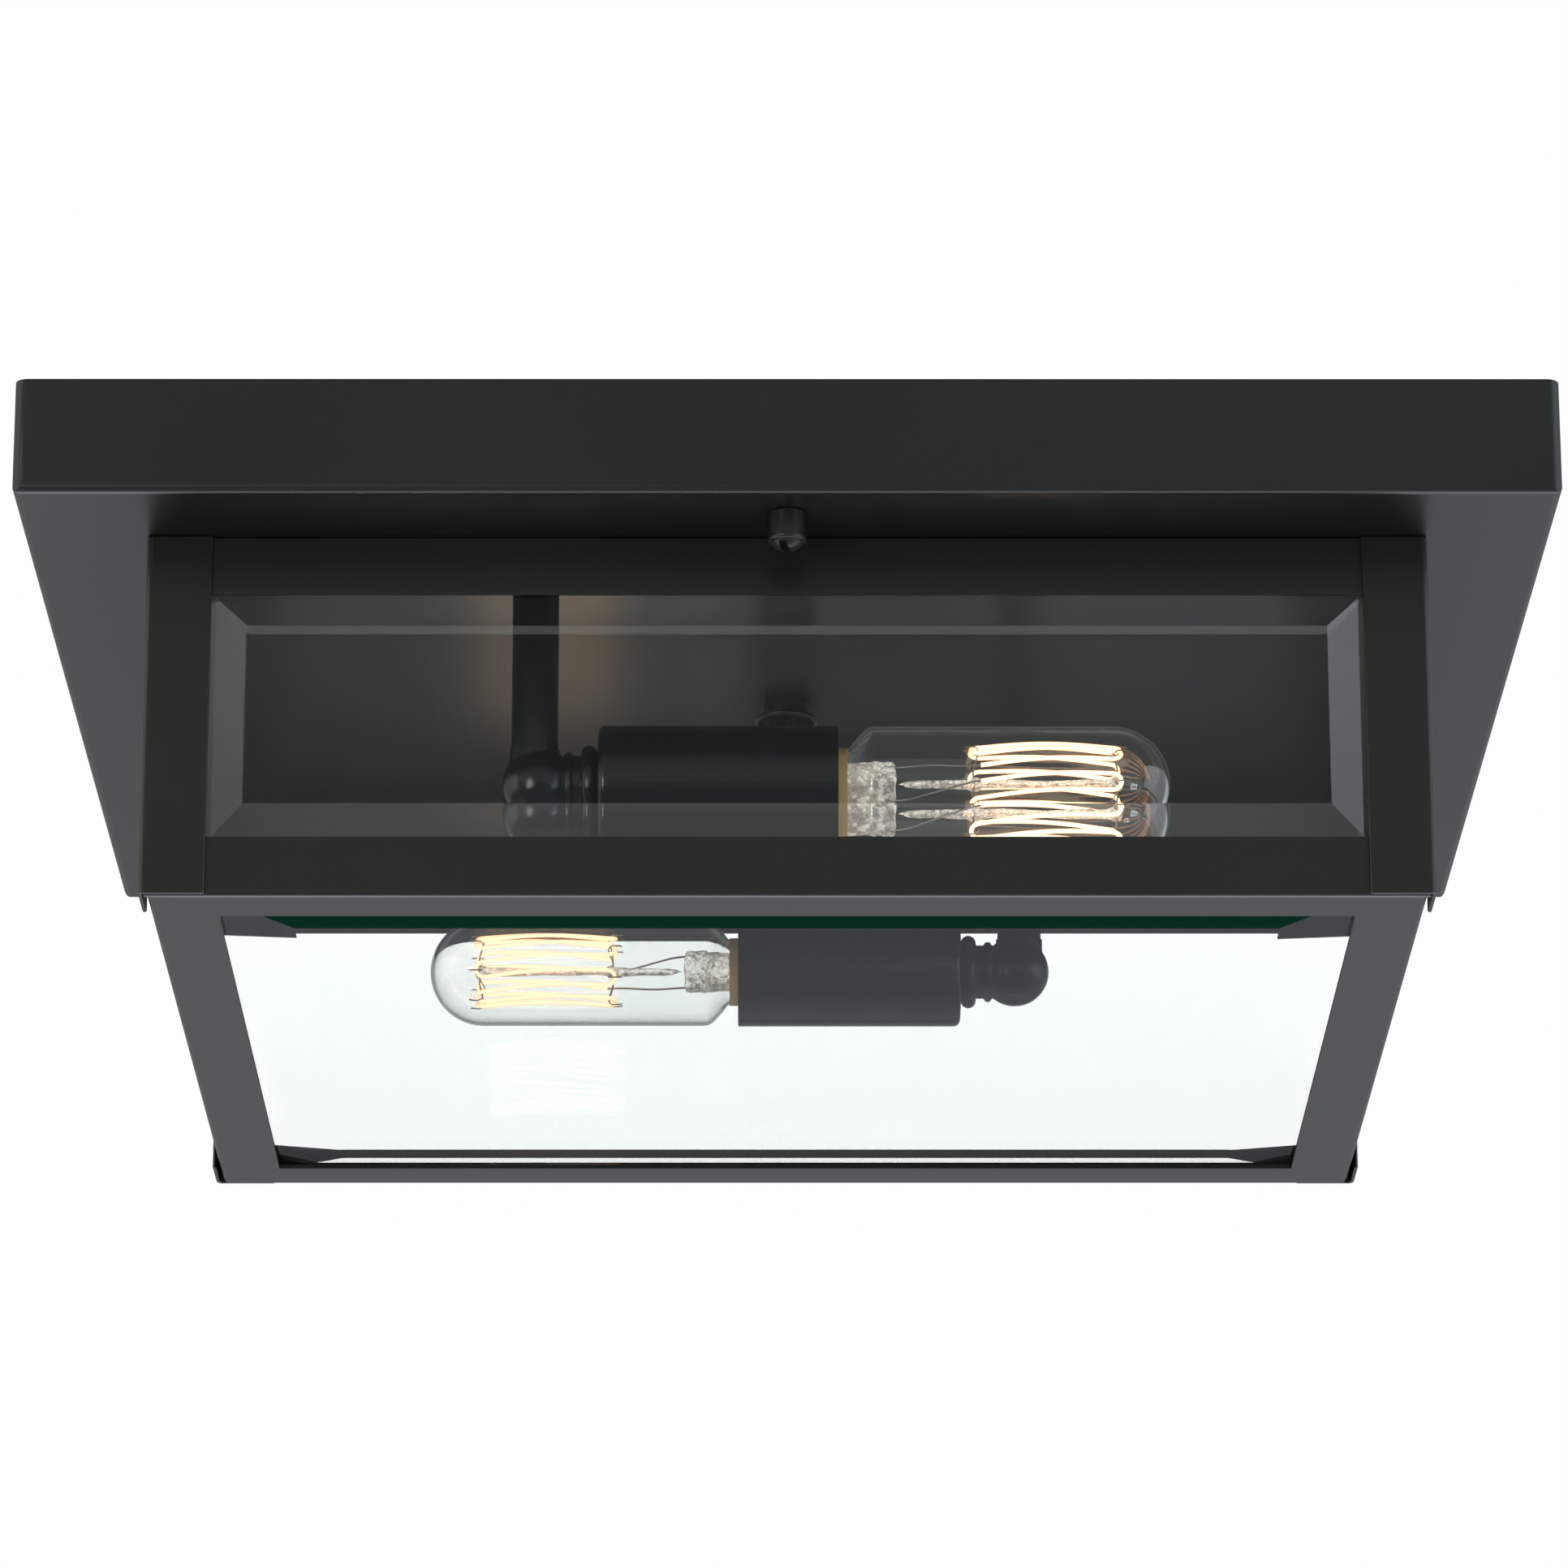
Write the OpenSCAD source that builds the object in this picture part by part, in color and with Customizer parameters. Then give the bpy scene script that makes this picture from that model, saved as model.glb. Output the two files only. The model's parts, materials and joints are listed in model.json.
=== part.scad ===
// Outdoor flush mount light: a ceiling pan, a bevelled glass lantern under it, and two
// horizontal lampholders with tubular filament bulbs. Millimetres. The origin is the centre of
// the ceiling plane, +Z is up, the front is towards -Y, and everything hangs below z = 0.

/* [Canopy] */
// Width of the canopy, left to right
canopy_w = 406; // [396:1:440]
// Depth of the canopy, front to back
canopy_d = 356; // [346:1:390]
// Height of the canopy's lip
lip_h = 32; // [28:0.5:40]
// Sheet thickness of the canopy and of the ceiling plate
sheet_t = 1.2; // [0.8:0.1:1.6]
// Outer radius of the lip's upright corners
corner_r = 3.5; // [2.5:0.5:6]
// Outer radius of the fold between the lip and the margin
fold_r = 2.5; // [1.8:0.1:3.5]
// Width of the ceiling plate's turned-in rim
rim_w = 10; // [6:0.5:14]
// Thickness of the foam gasket on the rim
gasket_t = 3; // [2:0.5:6]

/* [Lantern] */
// Width of the cage over its posts
cage_w = 340; // [320:1:350]
// Depth of the cage over its posts
cage_d = 290; // [275:1:300]
// Height of the cage below the margin
cage_h = 100; // [90:1:120]
// Leg width of the corner posts
post_leg = 17.5; // [14:0.5:22]
// Thickness of the corner posts
post_t = 1.2; // [0.8:0.1:1.6]
// Outer bend radius of the posts and of the bottom rails' fold
bend_r = 1.8; // [1.7:0.1:2.4]
// Height of the rails
rail_h = 16.3; // [12:0.1:20]
// Thickness of the rails
rail_t = 1.2; // [0.8:0.1:1.6]
// Width of the bottom rails' flange, which carries the glass
flange_w = 17.8; // [14:0.1:22]
// How far the side rails lie inside the posts' outer face
side_inset = 2.2; // [1.9:0.1:3]
// How far the posts stop above the cage's underside
post_lift = 0.4; // [0:0.1:1.5]

/* [Glass] */
// Thickness of the upright panes
glass_t = 5.3; // [4.6:0.1:6]
// Width of the bevel round each upright pane
bevel_w = 16; // [14:0.1:18]
// How much the bevel thins the upright panes' edge
bevel_drop = 3.6; // [2.5:0.1:3.8]
// How far the upright panes reach behind the rails
rail_lap = 7; // [5:0.1:9]
// How far the upright panes reach behind the posts
post_lap = 6.4; // [4:0.1:7]
// Thickness of the bottom pane
floor_glass_t = 8; // [6:0.1:9]
// Width of the bevel round the bottom pane
floor_bevel_w = 23.3; // [20:0.1:26]
// How much the bevel thins the bottom pane's edge
floor_bevel_drop = 2.5; // [1.5:0.1:3]
// How far the bottom pane laps over the side flanges
floor_lap_side = 3.9; // [3:0.1:9]
// How far the bottom pane laps over the front and rear flanges
floor_lap_front = 12; // [9:0.1:12.2]

/* [Fixing] */
// Distance between the crossbar's slots, to suit a ceiling box
slot_spacing = 88.9; // [70:0.1:96]
// Length of each slot
slot_l = 16; // [8:0.5:18]
// Width of each slot
slot_w = 4.8; // [4:0.1:6]
// Length of the crossbar
bar_l = 116; // [114:1:130]
// Width of the crossbar
bar_w = 28; // [22:1:34]
// Thickness of the crossbar
bar_t = 2; // [1.5:0.1:3]
// Radius of the threaded nipple and of the stems' threads
nipple_r = 5.05; // [4.5:0.05:5.5]
// Radius of the nipple's bore
nipple_bore_r = 3.5; // [2.5:0.1:4]
// Radius of the cap nut's collar, under the plate
cap_collar_r = 8.9; // [8:0.1:12]
// Radius of the cap nut's knurled end
cap_nut_r = 7.8; // [6.8:0.1:8.8]
// How far the cap nut hangs below the plate
cap_nut_h = 10.5; // [9:0.25:14]
// Radius of the canopy studs
stud_r = 2.085; // [1.5:0.005:2.5]
// Radius of the thumb nuts
thumb_r = 5.15; // [4.2:0.05:7]
// Height of the thumb nuts' barrel
thumb_h = 8; // [6:0.25:12]
// Height of the thumb nuts' rounded end
thumb_dome_h = 2.4; // [1.5:0.1:4]
// Width of the screwdriver slot in the thumb nuts' end
thumb_slot_w = 2.2; // [1:0.1:3]
// Turn of that slot from the canopy's width
thumb_slot_turn = 70; // [0:5:90]

/* [Lampholders] */
// Distance of each lamp's axis from the middle, front or rear
lamp_y = 83.5; // [60:0.5:100]
// Height of the lamp's axis below the ceiling
lamp_drop = 82; // [76:0.5:92]
// How much shorter the rear stem is
rear_lamp_rise = 4; // [0:0.1:6]
// Distance of each stem from the middle, left or right
stem_x = 68.5; // [50:0.5:76]
// Outer radius of the stems
stem_r = 6.35; // [5.8:0.05:7]
// Bore radius of the stems
stem_bore_r = 3.8; // [2.5:0.1:4]
// Radius of the elbow's ball
ball_r = 10; // [9.5:0.1:11.5]
// Outer radius of the socket cups
cup_r = 15.9; // [15.8:0.1:18]
// Length of the socket cups
cup_l = 65; // [63:0.5:70]
// Wall of the socket cups
cup_wall = 0.8; // [0.6:0.1:0.9]

/* [Bulbs] */
// Outer radius of the bulb's tube
bulb_r = 15.7; // [14.5:0.1:17]
// Length of the bulb outside the cup
bulb_out = 90.1; // [84:0.1:100]
// Wall of the bulb's glass
bulb_wall = 0.9; // [0.6:0.1:1.2]
// Radius of the bulb's neck
neck_r = 9.4; // [8.8:0.1:10]
// Radius of the screw base over its threads
base_r = 13.1; // [12.8:0.05:13.2]
// Lines of glowing wire in the filament, an even number
filament_lines = 12; // [8:2:12]
// Radius of the filament's cage
filament_cage_r = 10; // [9:0.1:11]
// Thickness of the filament
filament_d = 0.7; // [0.4:0.1:0.9]

/* [Hidden] */
$fn = 64;

// Colours
bronze = [0.19, 0.19, 0.18];
charcoal = [0.16, 0.17, 0.19];
zinc = [0.72, 0.73, 0.75];
brass = [0.78, 0.62, 0.32];
clear_glass = [0.80, 0.90, 0.87, 0.35];
glow = [1.0, 0.62, 0.25];

// Clearances
lift_gap = 0.3;      // between the lantern and what stays on the ceiling
slip_gap = 1;        // beside what slides past another sheet
thread_gap = 0.1;    // radial, round each thread
seat_gap = 0.15;     // between a bevel and the edge that it leans on
floor_gap = 0.1;     // under the bottom pane's bevel
end_gap = 0.3;       // at the ends of the rails
open_reveal = 0.4;   // how far the shell's opening stands inside the cage
running_gap = 0.045; // radial, between a stud and its thumb nut
eps = 0.01;

// Heights in the canopy
half_w = canopy_w / 2;
half_d = canopy_d / 2;
margin_z = -lip_h;
margin_top_z = margin_z + sheet_t;
plate_z = margin_top_z + lift_gap;
plate_top_z = plate_z + sheet_t;
plate_half_w = half_w - sheet_t - slip_gap;
plate_half_d = half_d - sheet_t - slip_gap;
rim_z = -gasket_t;
plate_edge_r = 3;
plate_fold_r = 2;

// The cage's faces
post_x = cage_w / 2;
post_y = cage_d / 2;
floor_z = margin_z - cage_h;
side_face = post_x - side_inset;
front_face = post_y - post_t;
side_inner = side_face - rail_t;
front_inner = front_face - rail_t;
open_x = side_face - flange_w;
open_y = front_face - flange_w;
flange_top_z = floor_z + rail_t;
shell_open_x = side_inner - open_reveal;
shell_open_y = front_inner - open_reveal;

// The upright panes: their bevels lean on the rails' edges, and their flat faces look out between them
bevel_slope = bevel_drop / bevel_w;
edge_t = glass_t - bevel_drop;
pane_top_z = margin_z - rail_h + rail_lap;
pane_foot_z = floor_z + rail_h - rail_lap;
pane_h = pane_top_z - pane_foot_z;
pane_mid_z = (pane_top_z + pane_foot_z) / 2;
rail_drop = bevel_slope * (bevel_w - rail_lap);
pane_front_y = front_inner - seat_gap + rail_drop;
pane_side_x = side_inner - seat_gap + rail_drop;
pane_half_x = post_x - post_leg + post_lap;
pane_half_y = post_y - post_leg + post_lap;

// The bottom pane lies on the front and rear flanges with its bevel down
floor_slope = floor_bevel_drop / floor_bevel_w;
floor_half_x = open_x + floor_lap_side;
floor_half_y = open_y + floor_lap_front;
floor_lap = max(floor_lap_side, floor_lap_front);
floor_face_z = flange_top_z + floor_gap - floor_slope * (floor_bevel_w - floor_lap);

// Canopy studs and thumb nuts stand in the middle of the margin
stud_y = (half_d + post_y) / 2;
stud_head_r = 4.5;
stud_head_h = 1.4;
thumb_top_z = margin_z - lift_gap;
thumb_end_z = thumb_top_z - thumb_h;
thumb_bore_z = thumb_end_z + 0.6;
stud_end_z = thumb_bore_z + 0.9;
thumb_edge_r = 1;
thumb_slot_h = thumb_dome_h - 0.4;

// Nuts on the threads
hex_r = nipple_r + 3.8;
lock_nut_h = 3;
stem_nut_h = 4;
thread_hole_r = nipple_r + thread_gap;
knurls = 44;
knurl_depth = 0.35;
cap_neck_r = 6.4;
cap_neck_h = 4.2;
cap_collar_h = 1.5;
cap_collar_z = plate_z - cap_neck_h - cap_collar_h;
cap_rim_r = 1.2;
cap_nut_floor = 1.5;
nipple_end_z = plate_z - cap_nut_h + cap_nut_floor + end_gap;
ground_x = 24;
ground_r = 2;
ground_head_r = 4.2;
ground_head_h = 2.4;
ground_slot_w = 1;
bar_corner_r = 4;

// Along each lamp, from its stem's axis
ball_off = 1.4;
seat_h = ball_r - 0.5;
seat_r = stem_r + 0.45;
neck_r1 = ball_r - 2.2;
small_bead_x = 9.3;
small_bead_r = 1.2;
small_bead_out = 8.8;
big_bead_x = 15;
big_bead_r = 2.2;
big_bead_out = 10.6;
cup_x = 17.4;
cup_back_t = 1.2;
cup_edge_r = 2;
socket_depth = 43.8;
mouth_x = cup_x + cup_l;
spigot_l = 9;
body_x = cup_x + cup_back_t;
body_r = cup_r - cup_wall - 0.2;
body_wall = 0.8;
body_floor_x = mouth_x - socket_depth;
body_floor_t = 5;
well_x = body_floor_x + body_floor_t;
body_end_x = mouth_x - 2;
boss_r = 9;
shell_gap = 0.3;
shell_wall = 0.4;
shell_floor_t = 0.6;
shell_end_x = mouth_x - 6;
contact_r = 5;
strip_w = 6;
strip_t = 0.5;
strip_foot = 4.5;
strip_tip = 3.6;

// The screw base and its rings
ring_pitch = 3.63;
ring_depth = 0.6;
ring_count = 5;
tip_x = mouth_x - 30.4;
tip_h = 1.2;
tip_r = 4.6;
cone_h = 3;
base_x = tip_x + tip_h + cone_h;
base_end_x = mouth_x - 1.5;
base_lip_r = neck_r + 0.7;
base_root_r = 11.4;
base_wall = 0.5;
base_roll_l = 2.4;
cement_w = 4;
cement_end_x = base_end_x + cement_w;
cement_r = neck_r + 0.5;

// The bulb's glass
shoulder_x = cement_end_x + 5.6;
bulb_tip_x = mouth_x + bulb_out;
dome_x = bulb_tip_x - bulb_r;
neck_x = base_end_x - 8;

// The press, its rod and the filament inside
press_x = cement_end_x + 5;
press_l = 9;
press_w = 12.6;
press_t = 5;
press_end_x = press_x + press_l;
flare_r = 5.6;
rod_r = 1.4;
cage_start = 33.3;
cage_clear = 14.5;
near_x = cement_end_x + cage_start;
far_x = bulb_tip_x - cage_clear;
button_r = 2.2;
button_l = 3;
pin_in = 1.7;
line_step = 360 / filament_lines;
turn_r = filament_cage_r * sin(line_step / 2);
cage_twist = 8;
sag = 0.9;
line_rings = 6;
turn_rings = 5;
wire_r = 0.2;
lead_r = 0.3;

// Shapes used by more than one piece

module rounded_rect(hx, hy, r) {
    square([2 * hx, 2 * (hy - r)], center = true);
    square([2 * (hx - r), 2 * hy], center = true);
    for (x = [-1, 1], y = [-1, 1]) translate([x * (hx - r), y * (hy - r)]) circle(r);
}

// Side view of a folded pan: square at the top, rounded along its lower edges
module pan_profile(hx, z0, z1, r) {
    translate([-hx, z0 + r]) square([2 * hx, z1 - z0 - r]);
    translate([r - hx, z0]) square([2 * (hx - r), z1 - z0]);
    for (x = [-1, 1]) translate([x * (hx - r), z0 + r]) circle(r);
}

// A block with rounded upright corners and rounded lower edges
module pan_block(hx, hy, z0, z1, edge_r, low_r) {
    intersection() {
        translate([0, 0, z0 - 1]) linear_extrude(z1 - z0 + 2) rounded_rect(hx, hy, edge_r);
        rotate([90, 0, 0]) linear_extrude(2 * hy + 2, center = true) pan_profile(hx, z0, z1, low_r);
        rotate([90, 0, 90]) linear_extrude(2 * hx + 2, center = true) pan_profile(hy, z0, z1, low_r);
    }
}

// Outline of a knurled round: teeth that stand knurl_depth over their roots
function knurled_outline(r) = [
    for (i = [0 : 2 * knurls - 1])
        let (tooth_r = r - (i % 2) * knurl_depth, a = 180 * i / knurls)
        tooth_r * [cos(a), sin(a)]
];

module upright(x, y, z0, z1, r) {
    translate([x, y, z0]) cylinder(h = z1 - z0, r = r);
}

module hex_nut(z0, h) {
    difference() {
        translate([0, 0, z0]) cylinder(h = h, r = hex_r, $fn = 6);
        upright(0, 0, z0 - 1, z0 + h + 1, thread_hole_r);
    }
}

// The front lamp points right, and the rear one is the same lamp turned round, on a shorter stem
function drop(i) = lamp_drop - i * rear_lamp_rise;
module at_lamp(i) {
    rotate([0, 0, 180 * i]) translate([-stem_x, -lamp_y, -drop(i)]) children();
}

module along(x) {
    translate([x, 0, 0]) rotate([0, 90, 0]) children();
}

module rod(x0, x1, r) {
    along(x0) cylinder(h = x1 - x0, r = r);
}

module taper(x0, x1, r0, r1) {
    along(x0) cylinder(h = x1 - x0, r1 = r0, r2 = r1);
}

module bead(x, r_out, r) {
    along(x) rotate_extrude() translate([r_out - r, 0]) circle(r);
}

// Fixing to the ceiling box

module crossbar() {
    color(zinc) translate([0, 0, -bar_t]) linear_extrude(bar_t) difference() {
        rounded_rect(bar_l / 2, bar_w / 2, bar_corner_r);
        circle(thread_hole_r);
        translate([ground_x, 0]) circle(ground_r + thread_gap);
        for (x = [-1, 1]) translate([x * slot_spacing / 2, 0]) {
            square([slot_l - slot_w, slot_w], center = true);
            for (e = [-1, 1]) translate([e * (slot_l - slot_w) / 2, 0]) circle(slot_w / 2);
        }
    }
}

module ground_screw() {
    head_z = -bar_t - ground_head_h;
    color([0.15, 0.5, 0.25]) difference() {
        union() {
            upright(ground_x, 0, -bar_t - eps, -end_gap, ground_r);
            upright(ground_x, 0, head_z, -bar_t, ground_head_r);
        }
        translate([ground_x, 0, head_z])
            cube([2 * ground_head_r + 1, ground_slot_w, ground_head_h - 1], center = true);
    }
}

module centre_nipple() {
    color(zinc) difference() {
        upright(0, 0, nipple_end_z, 0, nipple_r);
        upright(0, 0, nipple_end_z - 1, 1, nipple_bore_r);
    }
}

module nipple_lock_nut() {
    color(zinc) hex_nut(-bar_t - lock_nut_h, lock_nut_h);
}

// Round nut with a neck, a wide collar, a knurled end with a rounded rim, and a blind bore
module centre_cap_nut() {
    low_z = plate_z - cap_nut_h;
    rim_low_z = low_z + cap_rim_r;
    color(bronze) difference() {
        union() {
            upright(0, 0, cap_collar_z, plate_z, cap_neck_r);
            upright(0, 0, cap_collar_z, cap_collar_z + cap_collar_h, cap_collar_r - cap_collar_h / 2);
            translate([0, 0, cap_collar_z + cap_collar_h / 2]) rotate_extrude()
                translate([cap_collar_r - cap_collar_h / 2, 0]) circle(cap_collar_h / 2);
            translate([0, 0, rim_low_z]) linear_extrude(cap_collar_z + eps - rim_low_z)
                polygon(knurled_outline(cap_nut_r));
            translate([0, 0, rim_low_z]) rotate_extrude()
                translate([cap_nut_r - knurl_depth - cap_rim_r, 0]) circle(cap_rim_r);
            upright(0, 0, low_z, rim_low_z + eps, cap_nut_r - knurl_depth - cap_rim_r);
        }
        upright(0, 0, low_z + cap_nut_floor, plate_z + 1, thread_hole_r);
    }
}

// A tray with a turned-in rim, fixed under the crossbar, that carries the lamps and the studs
module ceiling_plate() {
    color(bronze) difference() {
        pan_block(plate_half_w, plate_half_d, plate_z, rim_z, plate_edge_r, plate_fold_r);
        pan_block(plate_half_w - sheet_t, plate_half_d - sheet_t, plate_top_z, rim_z - sheet_t,
            plate_edge_r - sheet_t, plate_fold_r - sheet_t);
        translate([0, 0, rim_z - sheet_t - 1]) linear_extrude(sheet_t + 2)
            rounded_rect(plate_half_w - rim_w, plate_half_d - rim_w, plate_fold_r);
        upright(0, 0, plate_z - 1, plate_top_z + 1, thread_hole_r);
        for (i = [-1, 1]) {
            upright(i * stem_x, i * lamp_y, plate_z - 1, plate_top_z + 1, thread_hole_r);
            upright(0, i * stud_y, plate_z - 1, plate_top_z + 1, stud_r + thread_gap);
        }
    }
}

module ceiling_gasket() {
    color([0.1, 0.1, 0.1]) translate([0, 0, rim_z]) linear_extrude(gasket_t) difference() {
        rounded_rect(plate_half_w, plate_half_d, plate_edge_r);
        rounded_rect(plate_half_w - rim_w, plate_half_d - rim_w, plate_fold_r);
    }
}

module canopy_studs() {
    color(zinc) for (i = [-1, 1]) {
        upright(0, i * stud_y, stud_end_z, plate_top_z + eps, stud_r);
        upright(0, i * stud_y, plate_top_z, plate_top_z + stud_head_h, stud_head_r);
    }
}

// Lampholders

module stem(i) {
    top_z = plate_z + drop(i);
    color(charcoal) at_lamp(i) difference() {
        union() {
            upright(0, 0, seat_h, top_z, stem_r);
            upright(0, 0, seat_h, top_z + sheet_t + stem_nut_h + 1, nipple_r);
        }
        upright(0, 0, seat_h - 1, top_z + sheet_t + stem_nut_h + 2, stem_bore_r);
    }
}

module stem_nut(i) {
    color(zinc) at_lamp(i) hex_nut(plate_top_z + drop(i), stem_nut_h);
}

// A ball with a seat for the stem on top and a neck with two turned beads towards the cup
module elbow(i) {
    color(charcoal) at_lamp(i) difference() {
        union() {
            translate([ball_off, 0, 0]) sphere(ball_r);
            upright(0, 0, 0, seat_h, seat_r);
            rod(ball_off, cup_x, neck_r1);
            bead(small_bead_x, small_bead_out, small_bead_r);
            bead(big_bead_x, big_bead_out, big_bead_r);
            rod(cup_x - 1, cup_x + spigot_l, nipple_r);
        }
        upright(0, 0, seat_h, seat_h + 2, seat_r);
        upright(0, 0, 0, seat_h + 1, stem_bore_r);
        rod(0, cup_x + spigot_l + 1, nipple_bore_r);
    }
}

module socket_cup(i) {
    color(charcoal) at_lamp(i) difference() {
        union() {
            rod(cup_x + cup_edge_r, mouth_x, cup_r);
            rod(cup_x, mouth_x - 1, cup_r - cup_edge_r);
            bead(cup_x + cup_edge_r, cup_r, cup_edge_r);
        }
        rod(body_x, mouth_x + 1, cup_r - cup_wall);
        rod(cup_x - 1, body_x + 1, thread_hole_r);
    }
}

module socket_body(i) {
    color([0.1, 0.1, 0.1]) at_lamp(i) difference() {
        union() {
            rod(body_x, body_floor_x + 1, boss_r);
            rod(body_floor_x, body_end_x, body_r);
        }
        rod(well_x, body_end_x + 1, body_r - body_wall);
        rod(body_x - 1, cup_x + spigot_l + end_gap, thread_hole_r);
    }
}

// Outline of the rings that stand for the screw thread: flats at the crest and at the root
function rings(r, x0) = [
    for (k = [0 : ring_count - 1], p = [[0.15, 1], [0.35, 0], [0.65, 0], [0.85, 1]])
        [r - p[1] * ring_depth, x0 + (k + p[0]) * ring_pitch]
];
function shifted(points, dr) = [for (p = points) [p[0] + dr, p[1]]];
function reversed(points) = [for (i = [len(points) - 1 : -1 : 0]) points[i]];

module screw_shell(i) {
    r = base_r + shell_gap;
    inner = concat([[r, well_x + shell_floor_t]], rings(r, base_x + 1), [[r, shell_end_x]]);
    outer = shifted(inner, shell_wall);
    floor_out = [[r + shell_wall, well_x], [boss_r, well_x], [boss_r, well_x + shell_floor_t]];
    color(brass) at_lamp(i) along(0) rotate_extrude()
        polygon(concat(inner, reversed(outer), floor_out));
}

module centre_contact(i) {
    foot_x = well_x + shell_floor_t;
    top_x = tip_x - end_gap;
    color(brass) at_lamp(i) {
        rod(well_x, foot_x, contact_r);
        rotate([90, 0, 0]) linear_extrude(strip_w, center = true) polygon([
            [foot_x - strip_t / 2, -strip_foot], [foot_x, -strip_foot],
            [top_x, strip_t], [top_x, strip_tip],
            [top_x - strip_t, strip_tip], [top_x - strip_t, 2 * strip_t],
            [foot_x - strip_t / 2, strip_t - strip_foot]
        ]);
    }
}

// Bulbs

module bulb_glass(i) {
    w = bulb_wall;
    color(clear_glass) at_lamp(i) difference() {
        union() {
            rod(neck_x, cement_end_x + eps, neck_r);
            taper(cement_end_x, shoulder_x, neck_r, bulb_r);
            rod(shoulder_x, dome_x, bulb_r);
            translate([dome_x, 0, 0]) sphere(bulb_r);
        }
        rod(neck_x - 1, cement_end_x + eps, neck_r - w);
        taper(cement_end_x, shoulder_x, neck_r - w, bulb_r - w);
        rod(shoulder_x - eps, dome_x, bulb_r - w);
        translate([dome_x, 0, 0]) sphere(bulb_r - w);
    }
}

module bulb_base(i) {
    outer = concat([[base_root_r, base_x]], rings(base_r, base_x + 1),
        [[base_r - ring_depth / 2, base_end_x - base_roll_l], [base_lip_r + base_wall, base_end_x]]);
    color(brass) at_lamp(i) along(0) rotate_extrude()
        polygon(concat(outer, reversed(shifted(outer, -base_wall))));
}

module bulb_base_insulator(i) {
    color([0.05, 0.05, 0.05]) at_lamp(i) taper(tip_x + tip_h, base_x, tip_r + 0.8, base_root_r - thread_gap);
}

module bulb_tip_contact(i) {
    color(zinc) at_lamp(i) {
        taper(tip_x, tip_x + tip_h / 2, tip_r - 1.2, tip_r);
        rod(tip_x + tip_h / 2 - eps, tip_x + tip_h, tip_r);
    }
}

module bulb_cement(i) {
    color([0.72, 0.5, 0.25]) at_lamp(i) difference() {
        rod(base_end_x, cement_end_x, cement_r);
        rod(base_end_x - 1, cement_end_x + 1, neck_r + 0.05);
    }
}

// The glass tube from the neck, its flattened press, and the rod with two buttons for the wires
module bulb_press(i) {
    color(clear_glass) at_lamp(i) {
        difference() {
            union() {
                rod(neck_x, neck_x + 1, neck_r - bulb_wall - seat_gap);
                rod(neck_x, press_x + 1, flare_r);
            }
            rod(neck_x - 1, press_x, flare_r - bulb_wall);
        }
        translate([press_x, -press_t / 2, -press_w / 2]) cube([press_l, press_t, press_w]);
        rod(press_end_x - 1, far_x + pin_in + button_l / 2, rod_r);
        for (x = [near_x - pin_in, far_x + pin_in])
            rod(x - button_l / 2, x + button_l / 2, button_r);
    }
}

// Where a line of the filament runs: f goes from the near end to the far end of the cage
function line_angle(k) = line_step * (k + 0.5);
function cage_point(a, f) = let (t = a + cage_twist * f) [
    near_x + f * (far_x - near_x),
    -filament_cage_r * cos(t),
    filament_cage_r * sin(t) - sag * sin(180 * f)
];
function line_points(k) = [
    for (j = [0 : line_rings]) let (f = j / line_rings) cage_point(line_angle(k), k % 2 == 0 ? f : 1 - f)
];
// The round turn from line k to the next one, past the end where line k stops
function turn_points(k) = let (
    f = k % 2 == 0 ? 1 : 0,
    from = cage_point(line_angle(k), f),
    mid = (from + cage_point(line_angle(k + 1), f)) / 2,
    way = [k % 2 == 0 ? 1 : -1, 0, 0]
) [
    for (j = [1 : turn_rings]) let (t = 180 * j / (turn_rings + 1))
        mid + (from - mid) * cos(t) + way * turn_r * sin(t)
];
filament_path = [
    for (k = [0 : filament_lines - 1])
        each concat(line_points(k), k < filament_lines - 1 ? turn_points(k) : [])
];

function unit(v) = v / norm(v);
function along_path(path, n) =
    unit(path[min(n + 1, len(path) - 1)] - path[max(n - 1, 0)]);
function ring_at(path, n, r, sides) = let (
    t = along_path(path, n),
    out = [0, path[n][1], path[n][2]],
    u = unit(out - (out * t) * t),
    v = cross(t, u)
) [for (s = [0 : sides - 1]) path[n] + r * (cos(360 * s / sides) * u + sin(360 * s / sides) * v)];

// One unbroken tube along a path that winds round the lamp's axis
module wound_tube(path, r, sides) {
    last = len(path) - 1;
    points = [for (n = [0 : last]) each ring_at(path, n, r, sides)];
    walls = [
        for (n = [0 : last - 1], s = [0 : sides - 1])
            let (a = n * sides + s, b = n * sides + (s + 1) % sides)
            each [[a, a + sides, b], [b, a + sides, b + sides]]
    ];
    ends = [for (s = [1 : sides - 2]) each [
        [0, s, s + 1],
        [last * sides, last * sides + s + 1, last * sides + s]
    ]];
    polyhedron(points, concat(walls, ends));
}

// Least distance between stretches of the filament that don't follow on one another
function least_gap(path, r, skip) = min([
    for (a = [0 : len(path) - 1 - skip], b = [a + skip : len(path) - 1]) norm(path[a] - path[b])
]) - 2 * r;

module bulb_filament(i) {
    echo(least_filament_gap = least_gap(filament_path, filament_d / 2, turn_rings));
    color(glow) at_lamp(i) wound_tube(filament_path, filament_d / 2, 6);
}

// A straight wire between two points
module wire(from, to, r) {
    run = to - from;
    translate(from) rotate([0, acos(run[2] / norm(run)), atan2(run[1], run[0])])
        cylinder(h = norm(run), r = r, $fn = 16);
}

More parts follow.
